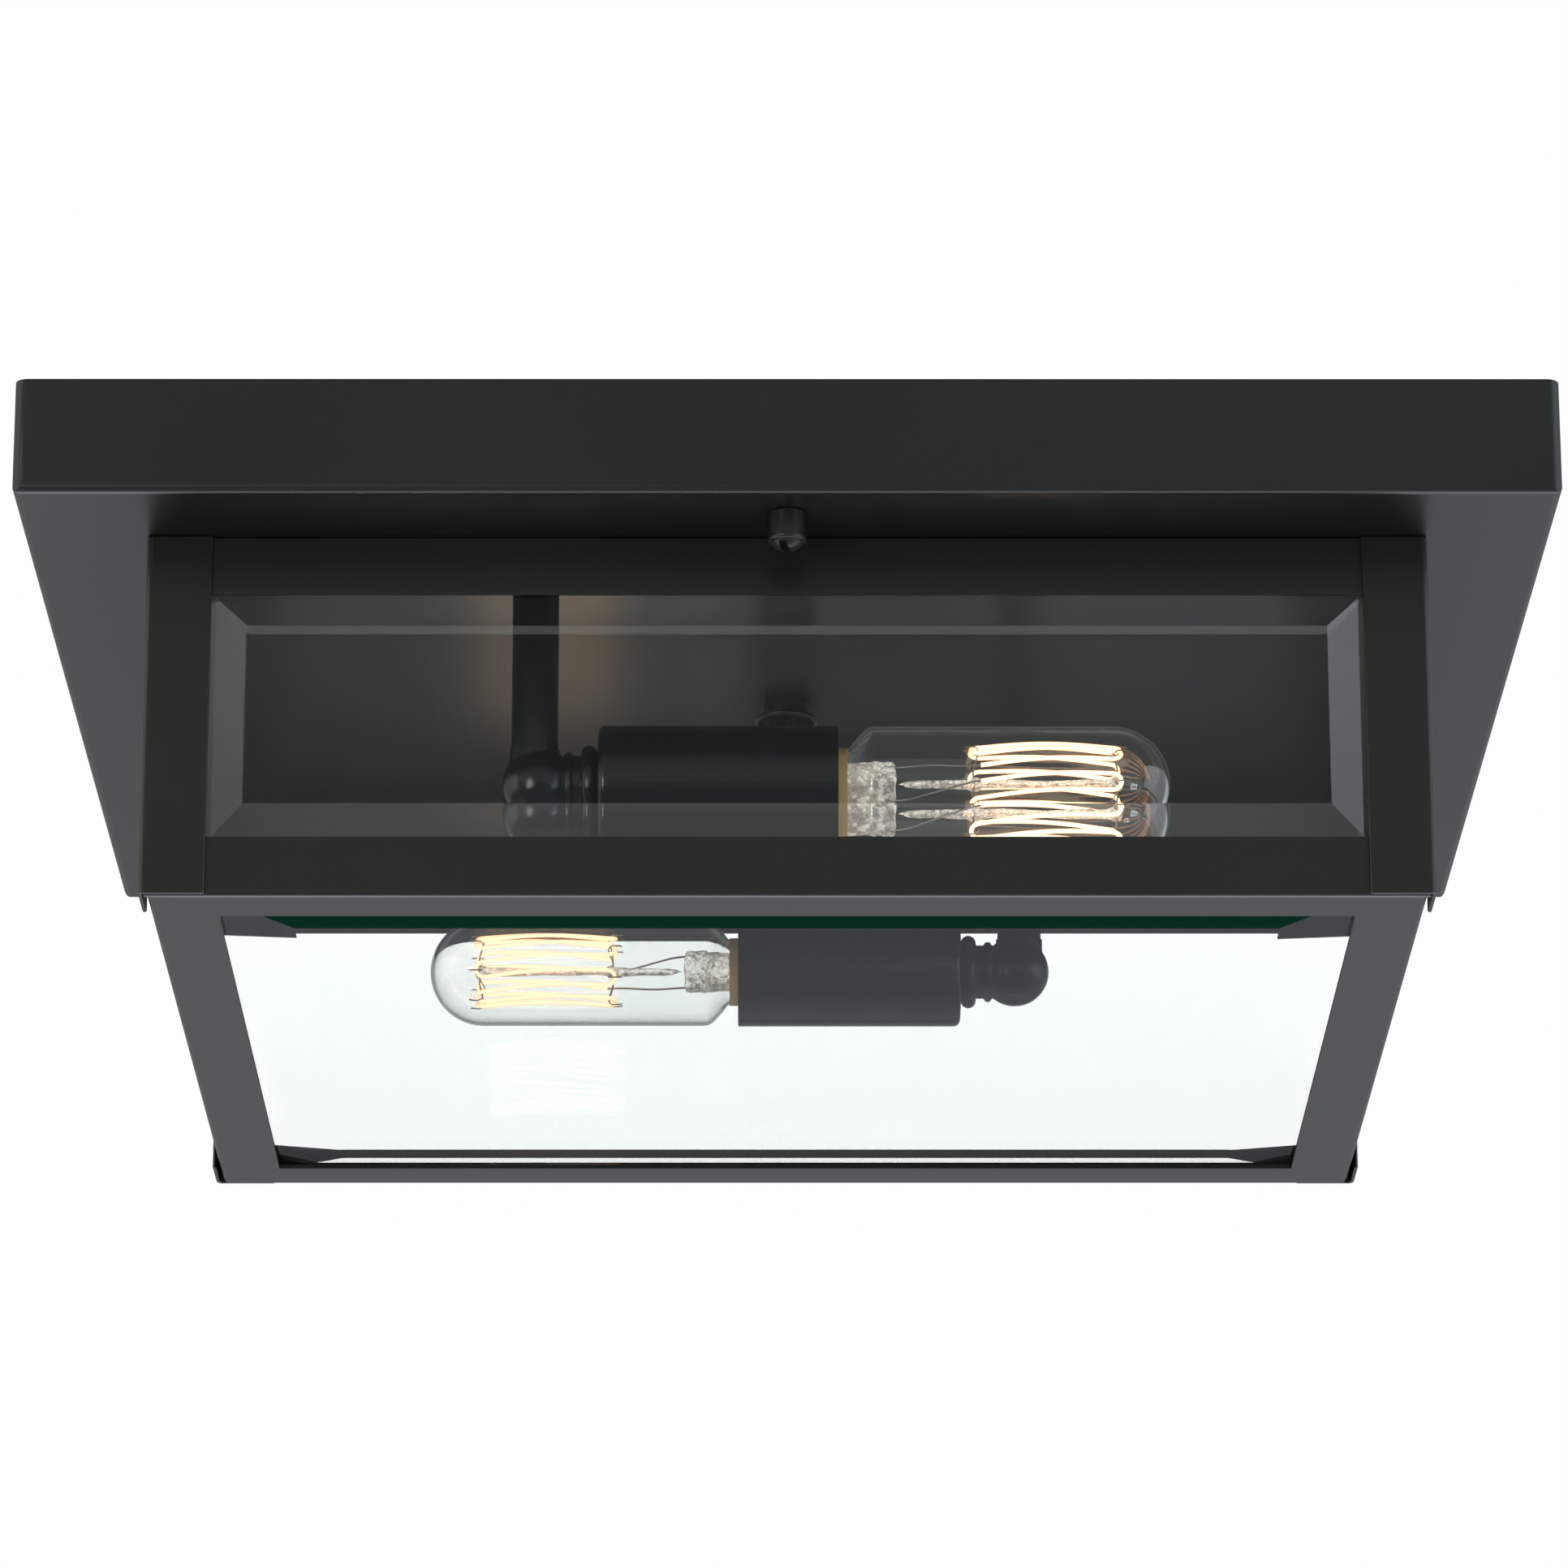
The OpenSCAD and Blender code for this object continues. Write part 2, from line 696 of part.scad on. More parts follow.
// Pins from the buttons through the filament's turns, and the two leads from the press
module bulb_supports(i) {
    pin_from = button_r + seat_gap;
    pin_to = filament_cage_r + 0.8;
    color(zinc) at_lamp(i) {
        for (k = [0 : filament_lines - 2]) {
            far = k % 2 == 0;
            a = line_angle(k + 0.5) + (far ? cage_twist : 0);
            x = far ? far_x + pin_in : near_x - pin_in;
            way = [0, -cos(a), sin(a)];
            wire([x, 0, 0] + pin_from * way, [x, 0, 0] + pin_to * way, wire_r);
        }
        for (e = [0, filament_lines - 1]) {
            top = cage_point(line_angle(e), 0) - [end_gap + lead_r, 0, 0];
            wire([press_end_x + seat_gap, 0, sign(top[2]) * (press_w / 2 - 1.5)], top, lead_r);
        }
    }
}

// The part that lifts off: shell, cage and glass

module canopy_shell() {
    color(bronze) difference() {
        pan_block(half_w, half_d, margin_z, -lift_gap, corner_r, fold_r);
        pan_block(half_w - sheet_t, half_d - sheet_t, margin_top_z, 1, corner_r - sheet_t,
            fold_r - sheet_t);
        translate([-shell_open_x, -shell_open_y, margin_z - 1])
            cube([2 * shell_open_x, 2 * shell_open_y, sheet_t + 2]);
        for (i = [-1, 1]) upright(0, i * stud_y, margin_z - 1, margin_top_z + 1, stud_r + 0.5);
    }
}

// An angle bent from sheet: legs along +X and +Y from a rounded outer corner at the origin
module bent_angle(leg_x, leg_y, t, r) {
    translate([r, 0]) square([leg_x - r, t]);
    translate([0, r]) square([t, leg_y - r]);
    intersection() {
        square([r, r]);
        translate([r, r]) difference() {
            circle(r);
            circle(r - t);
        }
    }
}

module post(sx, sy) {
    color(bronze) scale([sx, sy, 1]) translate([-post_x, -post_y, floor_z + post_lift])
        linear_extrude(cage_h - post_lift) bent_angle(post_leg, post_leg, post_t, bend_r);
}

module top_rail_along_x(sy) {
    half = post_x - post_t - end_gap;
    color(bronze) translate([-half, sy > 0 ? front_inner : -front_face, margin_z - rail_h])
        cube([2 * half, rail_t, rail_h]);
}

module top_rail_along_y(sx) {
    half = front_inner - end_gap;
    color(bronze) translate([sx > 0 ? side_inner : -side_face, -half, margin_z - rail_h])
        cube([rail_t, 2 * half, rail_h]);
}

// Bottom rails are folded angles, mitred where their flanges meet
module bottom_rail_along_x(sy) {
    half = post_x - post_t - end_gap;
    color(bronze) scale([1, sy, 1]) intersection() {
        rotate([90, 0, 90]) linear_extrude(2 * half, center = true)
            translate([-front_face, floor_z]) bent_angle(flange_w, rail_h, rail_t, bend_r);
        translate([0, 0, floor_z - 1]) linear_extrude(rail_h + 2) polygon([
            [-half, -front_face - 1], [half, -front_face - 1], [half, -front_inner],
            [side_inner, -front_inner], [open_x, -open_y], [open_x, 0], [-open_x, 0],
            [-open_x, -open_y], [-side_inner, -front_inner], [-half, -front_inner]
        ]);
    }
}

module bottom_rail_along_y(sx) {
    half = front_inner - end_gap;
    color(bronze) scale([sx, 1, 1]) intersection() {
        rotate([90, 0, 0]) linear_extrude(2 * half, center = true)
            translate([-side_face, floor_z]) bent_angle(flange_w, rail_h, rail_t, bend_r);
        translate([0, 0, floor_z - 1]) linear_extrude(rail_h + 2) polygon([
            [-side_face - 1, -half], [end_gap - side_inner, -half], [-open_x, -open_y],
            [-open_x, open_y], [end_gap - side_inner, half], [-side_face - 1, half]
        ]);
    }
}

// Section of a bevelled pane: its flat back on the axis, its bevelled face up
module pane_section(half, t, w, drop) {
    polygon([
        [-half, 0], [half, 0], [half, t - drop], [half - w, t], [w - half, t], [-half, t - drop]
    ]);
}

// A pane lying on its back: mitred bevels where the two sections cross
module bevelled_pane(half_x, half_y, t, w, drop) {
    intersection() {
        rotate([90, 0, 0]) linear_extrude(2 * half_y, center = true) pane_section(half_x, t, w, drop);
        rotate([90, 0, 90]) linear_extrude(2 * half_x, center = true) pane_section(half_y, t, w, drop);
    }
}

module pane_upright(turn, half, face) {
    color(clear_glass) rotate([0, 0, turn]) translate([0, glass_t - face, pane_mid_z])
        rotate([90, 0, 0]) bevelled_pane(half, pane_h / 2, glass_t, bevel_w, bevel_drop);
}

module pane_bottom() {
    color(clear_glass) translate([0, 0, floor_face_z + floor_glass_t]) rotate([180, 0, 0])
        bevelled_pane(floor_half_x, floor_half_y, floor_glass_t, floor_bevel_w, floor_bevel_drop);
}

// Clear beads that join the edges of neighbouring panes and lie against the rails
module corner_sealant() {
    x = pane_side_x - glass_t;
    y = pane_front_y - glass_t;
    rail_x = side_inner - seat_gap;
    rail_y = front_inner - seat_gap;
    slant = rail_y - y - edge_t;
    color([0.85, 0.87, 0.86, 0.5]) for (sx = [-1, 1], sy = [-1, 1]) scale([sx, sy, 1])
        translate([0, 0, pane_foot_z]) linear_extrude(pane_h) polygon([
            [pane_half_x, y], [x, pane_half_y], [x + edge_t, pane_half_y],
            [rail_x, pane_half_y + slant], [rail_x, rail_y],
            [pane_half_x + slant, rail_y], [pane_half_x, y + edge_t]
        ]);
}

// A round nut with a rounded end, a screwdriver slot and a blind bore for the stud
module thumb_nut(i) {
    dome_base = thumb_r - thumb_edge_r;
    dome_r = (dome_base * dome_base + thumb_dome_h * thumb_dome_h) / (2 * thumb_dome_h);
    edge_z = thumb_end_z + thumb_edge_r;
    color(bronze) translate([0, i * stud_y, 0]) difference() {
        union() {
            upright(0, 0, edge_z, thumb_top_z, thumb_r);
            upright(0, 0, thumb_end_z, thumb_top_z, dome_base);
            translate([0, 0, edge_z]) rotate_extrude() translate([dome_base, 0]) circle(thumb_edge_r);
            translate([0, 0, thumb_end_z - thumb_dome_h + dome_r]) sphere(dome_r);
        }
        translate([0, 0, thumb_end_z - thumb_dome_h]) rotate([0, 0, thumb_slot_turn])
            cube([2 * thumb_r + 2, thumb_slot_w, 2 * thumb_slot_h], center = true);
        upright(0, 0, thumb_bore_z, thumb_top_z + 1, stud_r + running_gap);
    }
}

crossbar();
ground_screw();
centre_nipple();
nipple_lock_nut();
centre_cap_nut();
ceiling_plate();
ceiling_gasket();
canopy_studs();
stem(0);  // stem_front
elbow(0);  // elbow_front
stem_nut(0);  // stem_nut_front
socket_cup(0);  // socket_cup_front
socket_body(0);  // socket_body_front
screw_shell(0);  // screw_shell_front
centre_contact(0);  // centre_contact_front
stem(1);  // stem_rear
elbow(1);  // elbow_rear
stem_nut(1);  // stem_nut_rear
socket_cup(1);  // socket_cup_rear
socket_body(1);  // socket_body_rear
screw_shell(1);  // screw_shell_rear
centre_contact(1);  // centre_contact_rear
bulb_glass(0);  // bulb_glass_front
bulb_base(0);  // bulb_base_front
bulb_base_insulator(0);  // bulb_base_insulator_front
bulb_tip_contact(0);  // bulb_tip_contact_front
bulb_cement(0);  // bulb_cement_front
bulb_press(0);  // bulb_press_front
bulb_supports(0);  // bulb_supports_front
bulb_filament(0);  // bulb_filament_front
bulb_glass(1);  // bulb_glass_rear
bulb_base(1);  // bulb_base_rear
bulb_base_insulator(1);  // bulb_base_insulator_rear
bulb_tip_contact(1);  // bulb_tip_contact_rear
bulb_cement(1);  // bulb_cement_rear
bulb_press(1);  // bulb_press_rear
bulb_supports(1);  // bulb_supports_rear
bulb_filament(1);  // bulb_filament_rear
canopy_shell();
post(1, 1);  // post_front_left
post(-1, 1);  // post_front_right
post(1, -1);  // post_rear_left
post(-1, -1);  // post_rear_right
top_rail_along_x(-1);  // top_rail_front
top_rail_along_x(1);  // top_rail_rear
top_rail_along_y(-1);  // top_rail_left
top_rail_along_y(1);  // top_rail_right
bottom_rail_along_x(1);  // bottom_rail_front
bottom_rail_along_x(-1);  // bottom_rail_rear
bottom_rail_along_y(1);  // bottom_rail_left
bottom_rail_along_y(-1);  // bottom_rail_right
pane_upright(0, pane_half_x, pane_front_y);  // pane_front
pane_upright(180, pane_half_x, pane_front_y);  // pane_rear
pane_upright(-90, pane_half_y, pane_side_x);  // pane_left
pane_upright(90, pane_half_y, pane_side_x);  // pane_right
pane_bottom();
corner_sealant();
thumb_nut(-1);  // thumb_nut_front
thumb_nut(1);  // thumb_nut_rear
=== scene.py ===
"""Looks of an outdoor flush mount light: painted sheet metal, bevelled panes and two filament bulbs."""

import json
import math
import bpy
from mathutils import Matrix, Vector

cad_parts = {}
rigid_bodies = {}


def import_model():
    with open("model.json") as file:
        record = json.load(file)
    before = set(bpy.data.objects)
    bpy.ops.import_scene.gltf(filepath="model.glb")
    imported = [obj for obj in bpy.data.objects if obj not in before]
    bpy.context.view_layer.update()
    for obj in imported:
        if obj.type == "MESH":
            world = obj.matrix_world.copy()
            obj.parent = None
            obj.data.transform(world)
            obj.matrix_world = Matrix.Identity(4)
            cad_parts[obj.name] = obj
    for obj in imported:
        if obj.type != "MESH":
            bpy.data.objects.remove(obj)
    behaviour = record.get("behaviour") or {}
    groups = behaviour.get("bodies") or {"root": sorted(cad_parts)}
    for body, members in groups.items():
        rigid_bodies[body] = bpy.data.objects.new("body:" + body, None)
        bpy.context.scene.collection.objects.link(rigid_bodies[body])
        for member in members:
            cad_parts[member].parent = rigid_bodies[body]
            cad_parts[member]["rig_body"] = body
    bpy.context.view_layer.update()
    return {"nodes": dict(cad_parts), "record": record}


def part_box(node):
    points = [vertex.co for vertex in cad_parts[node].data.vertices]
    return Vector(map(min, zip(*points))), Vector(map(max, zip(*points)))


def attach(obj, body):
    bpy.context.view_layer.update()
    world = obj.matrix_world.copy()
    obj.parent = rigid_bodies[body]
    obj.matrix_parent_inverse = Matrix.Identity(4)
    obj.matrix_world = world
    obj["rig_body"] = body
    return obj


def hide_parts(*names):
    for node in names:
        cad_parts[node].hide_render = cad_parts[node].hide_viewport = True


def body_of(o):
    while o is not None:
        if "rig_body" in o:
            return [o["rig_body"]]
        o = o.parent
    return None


bl_info = {
    "name": "Flush mount light",
    "version": (1, 0, 0),
    "blender": (4, 5, 0),
    "location": "3D View > Sidebar > Light",
    "description": "Finishes the metalwork and glass of a porch light and models its bulbs",
    "category": "Object",
}

import bpy
from bpy.props import FloatProperty, FloatVectorProperty, IntProperty, PointerProperty
from mathutils import Matrix, Vector

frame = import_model()

MM = 0.001
MERGE = 1e-6
# Which way each lamp points along X
LAMPS = {"front": 1.0, "rear": -1.0}


# Sizes read from the frame, so that each new piece sits on its neighbours


def low(node):
    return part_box(node)[0]


def high(node):
    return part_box(node)[1]


def middle(node):
    return (low(node) + high(node)) / 2


# Helpers that work as by hand


def deselect():
    if bpy.context.object and bpy.context.object.mode != "OBJECT":
        bpy.ops.object.mode_set(mode="OBJECT")
    bpy.ops.object.select_all(action="DESELECT")


def pick(piece):
    """Selects one object alone and makes it active."""
    deselect()
    piece.select_set(True)
    bpy.context.view_layer.objects.active = piece


def apply_modifiers(piece):
    pick(piece)
    for modifier in list(piece.modifiers):
        bpy.ops.object.modifier_apply(modifier=modifier.name)


def shade(piece, degrees):
    """Smooth shading that keeps the edges sharp where faces meet at more than an angle."""
    pick(piece)
    bpy.ops.object.shade_smooth_by_angle(angle=math.radians(degrees))


def join(pieces):
    """Joins pieces into the first of them."""
    deselect()
    for piece in pieces:
        piece.select_set(True)
    bpy.context.view_layer.objects.active = pieces[0]
    bpy.ops.object.join()
    return pieces[0]


def finish_piece(piece, name, material, slot, body, *nodes):
    """The last steps of every piece: name, place, material, body and the CAD nodes it replaces. Its slot is
    not used.
    """
    pick(piece)
    bpy.ops.object.transform_apply(location=True, rotation=True, scale=True)
    piece.name = name
    piece.data.name = name
    piece.data.materials.clear()
    piece.data.materials.append(material)
    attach(piece, body)
    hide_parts(*nodes)


def turned(profile, sides, close_start=False, close_end=False):
    """A turned shape along +X: one ring of points for each (distance, radius), extruded ring by ring."""
    x0, r0 = profile[0]
    bpy.ops.mesh.primitive_circle_add(
        vertices=sides, radius=r0, fill_type="NOTHING", location=(x0, 0, 0), rotation=(0, math.pi / 2, 0)
    )
    piece = bpy.context.object
    bpy.ops.object.transform_apply(location=True, rotation=True, scale=True)
    bpy.ops.object.mode_set(mode="EDIT")
    bpy.ops.mesh.select_all(action="SELECT")
    if close_start:
        bpy.ops.mesh.edge_face_add()
    x_before, r_before = x0, r0
    for x, r in profile[1:]:
        bpy.ops.mesh.extrude_edges_move(TRANSFORM_OT_translate={"value": (x - x_before, 0, 0)})
        share = r / r_before
        bpy.ops.transform.resize(value=(1, share, share), center_override=(x, 0, 0))
        x_before, r_before = x, r
    if close_end:
        bpy.ops.mesh.edge_face_add()
    bpy.ops.mesh.select_all(action="SELECT")
    bpy.ops.mesh.remove_doubles(threshold=MERGE)
    bpy.ops.mesh.normals_make_consistent(inside=False)
    bpy.ops.object.mode_set(mode="OBJECT")
    return piece


def at_lamp(piece, end):
    """Moves a piece from the stem's axis at the origin, lamp along +X, to its lamp."""
    stem = middle("stem_" + end)
    axis_z = middle("socket_cup_" + end).z
    piece.rotation_euler = (0, 0, 0 if end == "front" else math.pi)
    piece.location = (stem.x, stem.y, axis_z)


def select_verts(piece, wanted):
    """Selects the vertices, in edit mode, whose place passes the test."""
    bpy.ops.mesh.select_mode(type="VERT")
    bpy.ops.mesh.select_all(action="DESELECT")
    bpy.ops.object.mode_set(mode="OBJECT")
    for vert in piece.data.vertices:
        vert.select = wanted(vert.co)
    bpy.ops.object.mode_set(mode="EDIT")


def tube_along(points, radius, resolution):
    """A round wire with closed ends: straight between many points, and curved along a few."""
    many = 30
    deselect()
    bpy.ops.curve.primitive_nurbs_path_add(location=(0, 0, 0))
    wire = bpy.context.object
    wire.data.splines.clear()
    spline = wire.data.splines.new("POLY" if len(points) > many else "NURBS")
    spline.points.add(len(points) - 1)
    for point, place in zip(spline.points, points):
        point.co = (*place, 1)
    if spline.type == "NURBS":
        spline.order_u = 3
        spline.use_endpoint_u = True
        spline.resolution_u = 5
    wire.data.dimensions = "3D"
    wire.data.bevel_depth = radius
    wire.data.bevel_resolution = resolution
    wire.data.use_fill_caps = True
    pick(wire)
    bpy.ops.object.convert(target="MESH")
    return bpy.context.object


class LampSizes:
    """Distances along a lamp from its stem's axis, worked out from the frame."""

    def __init__(self, end):
        stem = abs(middle("stem_" + end).x)

        def span(node):
            ends = sorted((LAMPS[end] * low(node).x, LAMPS[end] * high(node).x))
            return stem + ends[0], stem + ends[1]

        # the blown neck reaches further into its base than the CAD's
        deeper = 8.8 * MM
        glass_near, self.tip = span("bulb_glass_" + end)
        self.neck = glass_near - deeper
        self.cement = span("bulb_cement_" + end)[1]
        self.radius = (high("bulb_glass_" + end).z - low("bulb_glass_" + end).z) / 2
        self.press_start = self.cement + 5 * MM
        self.press_length = 9 * MM
        self.press_end = self.press_start + self.press_length
        self.press_width = 12.6 * MM

        # the glowing wire's cage is a little shorter than the CAD's, and has a button at each end
        near, far = span("bulb_filament_" + end)
        shorter_near, shorter_far = 3.0 * MM, 2.0 * MM
        to_button = 1.7 * MM
        self.turn_radius = 2.6 * MM
        self.cage_near = near + self.turn_radius + shorter_near
        self.cage_far = far - self.turn_radius - shorter_far
        self.button_near = self.cage_near - to_button
        self.button_far = self.cage_far + to_button


def place_at_lamps(piece, node, name, slot, finish=None):
    """Puts a piece and its copy at the front and the rear lamp, with its slot's look or another finish."""
    pick(piece)
    bpy.ops.object.duplicate()
    copy = bpy.context.object
    for end, one in (("front", piece), ("rear", copy)):
        at_lamp(one, end)
        finish_piece(one, name + "_" + end, look(finish or slot), slot, "bulb_" + end, node + "_" + end)


# Materials


def look(name):
    """A finish, by the name of its material slot in the record or by its own name."""
    return bpy.data.materials["look_" + name]


def new_material(name, color):
    """A finish with one colour, as its node tree and its shader."""
    material = bpy.data.materials.new("look_" + name)
    material.use_nodes = True
    material.diffuse_color = (*color, 1)
    shader = material.node_tree.nodes["Principled BSDF"]
    shader.inputs["Base Color"].default_value = (*color, 1)
    return material.node_tree, shader


def record_slot(node):
    """The material slot that the record gives a node."""
    return next(part["material_slot"] for part in frame["record"]["subparts"] if part["node"] == node)


# Nodes that several finishes and the studio use


def add_node(tree, kind, x, y, **values):
    node = tree.nodes.new(kind)
    node.location = (x, y)
    for key, value in values.items():
        setattr(node, key, value)
    return node


def give(tree, socket, value):
    """Sets a socket to a number or a colour, or links it to the output of another node."""
    if isinstance(value, (int, float)):
        socket.default_value = value
    elif isinstance(value, bpy.types.NodeSocket):
        tree.links.new(value, socket)
    else:
        socket.default_value = (*value, 1)


def fill(tree, node, inputs):
    """Gives each input that is named its number, colour or output."""
    for name, value in inputs.items():
        give(tree, node.inputs[name], value)


def maths(tree, operation, first, second, x, y):
    """One math node, with each input a number or the output of another node."""
    node = add_node(tree, "ShaderNodeMath", x, y, operation=operation)
    give(tree, node.inputs[0], first)
    give(tree, node.inputs[1], second)
    return node.outputs[0]


def times(tree, first, second, x, y):
    return maths(tree, "MULTIPLY", first, second, x, y)


def rescale(tree, value, start, end, low_value, high_value, x, y, steps="LINEAR"):
    """Turns start to end of a value into low_value to high_value, and holds past the ends."""
    node = add_node(tree, "ShaderNodeMapRange", x, y, interpolation_type=steps)
    fill(tree, node, {
        "Value": value, "From Min": start, "From Max": end, "To Min": low_value, "To Max": high_value,
    })
    return node.outputs["Result"]


def smooth_step(tree, value, start, end, low_value, high_value, x, y):
    return rescale(tree, value, start, end, low_value, high_value, x, y, "SMOOTHSTEP")


def mix(tree, kind, factor, first, second, x, y):
    """Goes from first to second, each a number (FLOAT), a colour (RGBA) or another node's output."""
    node = add_node(tree, "ShaderNodeMix", x, y, data_type=kind)
    fill(tree, node, {"Factor": factor, "A": first, "B": second})
    return node.outputs["Result"]


def mix_shaders(tree, factor, first, second, x, y):
    """Puts a mix of two shaders on the material's surface."""
    node = add_node(tree, "ShaderNodeMixShader", x, y)
    tree.links.new(factor, node.inputs["Fac"])
    tree.links.new(first, node.inputs[1])
    tree.links.new(second, node.inputs[2])
    tree.links.new(node.outputs["Shader"], tree.nodes["Material Output"].inputs["Surface"])


def ramp(tree, value, stops, x, y):
    """A strength that follows stops, each (where on the value, strength), and holds past the ends."""
    first, last = stops[0][0], stops[-1][0]
    share = rescale(tree, value, first, last, 0, 1, x - 200, y)
    peak = max(strength for where, strength in stops)
    node = add_node(tree, "ShaderNodeValToRGB", x, y)
    elements = node.color_ramp.elements
    while len(elements) < len(stops):
        elements.new(0.5)
    # placed first and coloured after, because the elements are sorted by their places
    for element, (where, strength) in zip(elements, stops):
        element.position = (where - first) / (last - first)
    for element, (where, strength) in zip(elements, stops):
        element.color = (strength / peak,) * 3 + (1,)
    tree.links.new(share, node.inputs["Fac"])
    return times(tree, node.outputs["Color"], peak, x + 300, y)


def axes(tree, vector, x, y):
    """The three numbers of a vector."""
    node = add_node(tree, "ShaderNodeSeparateXYZ", x, y)
    tree.links.new(vector, node.inputs["Vector"])
    return node.outputs["X"], node.outputs["Y"], node.outputs["Z"]


def noise(tree, scale, detail, x, y):
    """A pattern that stays on its piece."""
    place = add_node(tree, "ShaderNodeTexCoord", x - 300, y)
    node = add_node(tree, "ShaderNodeTexNoise", x, y)
    fill(tree, node, {"Vector": place.outputs["Object"], "Scale": scale, "Detail": detail})
    return node.outputs["Fac"]


def bumps(tree, height, strength, depth, x, y):
    """The normal of a surface that a pattern makes uneven."""
    node = add_node(tree, "ShaderNodeBump", x, y)
    fill(tree, node, {"Height": height, "Strength": strength, "Distance": depth})
    return node.outputs["Normal"]


def give_off(tree, shader, light, strength=1):
    """Lets a surface give off some light of its own."""
    fill(tree, shader, {"Emission Color": light, "Emission Strength": strength})


def paint_group():
    """Powder coat: fine orange peel, and a soft clouding of its tone and gloss."""
    group = bpy.data.node_groups.new("powder_coat", "ShaderNodeTree")
    face = group.interface
    for name, kind, default in (
        ("Color", "NodeSocketColor", (0.02, 0.02, 0.02, 1)),
        ("Roughness", "NodeSocketFloat", 0.4),
        ("Peel", "NodeSocketFloat", 0.1),
        ("Clouding", "NodeSocketFloat", 0.06),
    ):
        socket = face.new_socket(name, in_out="INPUT", socket_type=kind)
        socket.default_value = default
    face.new_socket("Color", in_out="OUTPUT", socket_type="NodeSocketColor")
    face.new_socket("Roughness", in_out="OUTPUT", socket_type="NodeSocketFloat")
    face.new_socket("Normal", in_out="OUTPUT", socket_type="NodeSocketVector")
    given = add_node(group, "NodeGroupInput", -900, 0)
    out = add_node(group, "NodeGroupOutput", 500, 0)
    link = group.links.new
    peel_scale, peel_detail, peel_depth = 900, 3, 0.00006
    cloud_scale, cloud_detail = 14, 5
    darkest, palest = 0.85, 1.15

    peel = noise(group, peel_scale, peel_detail, -600, -350)
    link(bumps(group, peel, given.outputs["Peel"], peel_depth, 200, -350), out.inputs["Normal"])

    cloud = noise(group, cloud_scale, cloud_detail, -600, -50)
    spread = maths(group, "SUBTRACT", cloud, 0.5, -300, -50)
    gloss = add_node(group, "ShaderNodeMath", -100, -50, operation="MULTIPLY_ADD")
    link(spread, gloss.inputs[0])
    link(given.outputs["Clouding"], gloss.inputs[1])
    link(given.outputs["Roughness"], gloss.inputs[2])
    link(gloss.outputs[0], out.inputs["Roughness"])

    tone = rescale(group, cloud, 0, 1, darkest, palest, -300, 200)
    color = add_node(group, "ShaderNodeMix", 0, 200, data_type="RGBA", blend_type="MULTIPLY")
    fill(group, color, {"Factor": 1, "A": given.outputs["Color"], "B": tone})
    link(color.outputs["Result"], out.inputs["Color"])


def painted(name, color, roughness, peel=0.12, clouding=0.08):
    """A finish that uses the powder coat group."""
    tree, shader = new_material(name, color)
    coat = add_node(tree, "ShaderNodeGroup", -350, 0, node_tree=bpy.data.node_groups["powder_coat"])
    fill(tree, coat, {"Color": color, "Roughness": roughness, "Peel": peel, "Clouding": clouding})
    for output, socket in (("Color", "Base Color"), ("Roughness", "Roughness"), ("Normal", "Normal")):
        tree.links.new(coat.outputs[output], shader.inputs[socket])
    return shader


def plain_metal(name, color, roughness):
    """Bare metal whose tone and gloss vary a little, as plated or drawn metal's do."""
    shader = painted(name, color, roughness, peel=0.04, clouding=0.3)
    shader.inputs["Metallic"].default_value = 1


def clear_glass(name, color, refraction):
    """Smooth glass that lets the lamps' light through to what is behind it."""
    tree, shader = new_material(name, color)
    fill(tree, shader, {"Roughness": 0, "IOR": refraction, "Transmission Weight": 1})
    shadow = add_node(tree, "ShaderNodeLightPath", -200, 350).outputs["Is Shadow Ray"]
    through = add_node(tree, "ShaderNodeBsdfTransparent", 100, -250)
    through.inputs["Color"].default_value = (*color, 1)
    mix_shaders(tree, shadow, shader.outputs["BSDF"], through.outputs["BSDF"], 300, 100)
    return tree, shader


def pane_glass(finish):
    """Panes whose colour deepens with the way that light goes through them.

    Their flat faces, whose normals run along an axis, are tinted and their bevels aren't. The floor pane's
    front bevel has a painted green glow of its own, which stands for the light a pane traps and lets out
    at its rim.
    """
    tree, shader = clear_glass("pane_glass", finish.flat_tint, 1.52)
    inside = add_node(tree, "ShaderNodeVolumeAbsorption", 100, -400)
    fill(tree, inside, {"Color": finish.glass_tint, "Density": finish.glass_density})
    tree.links.new(inside.outputs["Volume"], tree.nodes["Material Output"].inputs["Volume"])

    flat_from = 0.997
    normal = add_node(tree, "ShaderNodeTexCoord", -1100, 100).outputs["Normal"]
    steep = add_node(tree, "ShaderNodeVectorMath", -900, 100, operation="ABSOLUTE")
    tree.links.new(normal, steep.inputs[0])
    x, y, z = axes(tree, steep.outputs["Vector"], -700, 100)
    most = maths(tree, "MAXIMUM", maths(tree, "MAXIMUM", x, y, -500, 200), z, -400, 100)
    flat = maths(tree, "GREATER_THAN", most, flat_from, -300, 0)
    tint = mix(tree, "RGBA", flat, (1, 1, 1), finish.flat_tint, -150, 100)
    tree.links.new(tint, shader.inputs["Base Color"])

    # how far the front bevel's normal points down, and between what limits it points forward
    downward, leans_from, leans_to = -0.9, 0.03, 0.3
    _, y, z = axes(tree, normal, -700, -200)
    down = maths(tree, "LESS_THAN", z, downward, -500, -200)
    front = maths(tree, "LESS_THAN", y, -leans_from, -500, -350)
    shallow = maths(tree, "GREATER_THAN", y, -leans_to, -500, -500)
    # painted glow: only the floor pane's front bevel gives off its own green light
    rim = times(tree, down, times(tree, front, shallow, -300, -400), -150, -300)
    give_off(tree, shader, mix(tree, "RGBA", rim, (0, 0, 0), finish.painted_rim_glow, 0, -300))


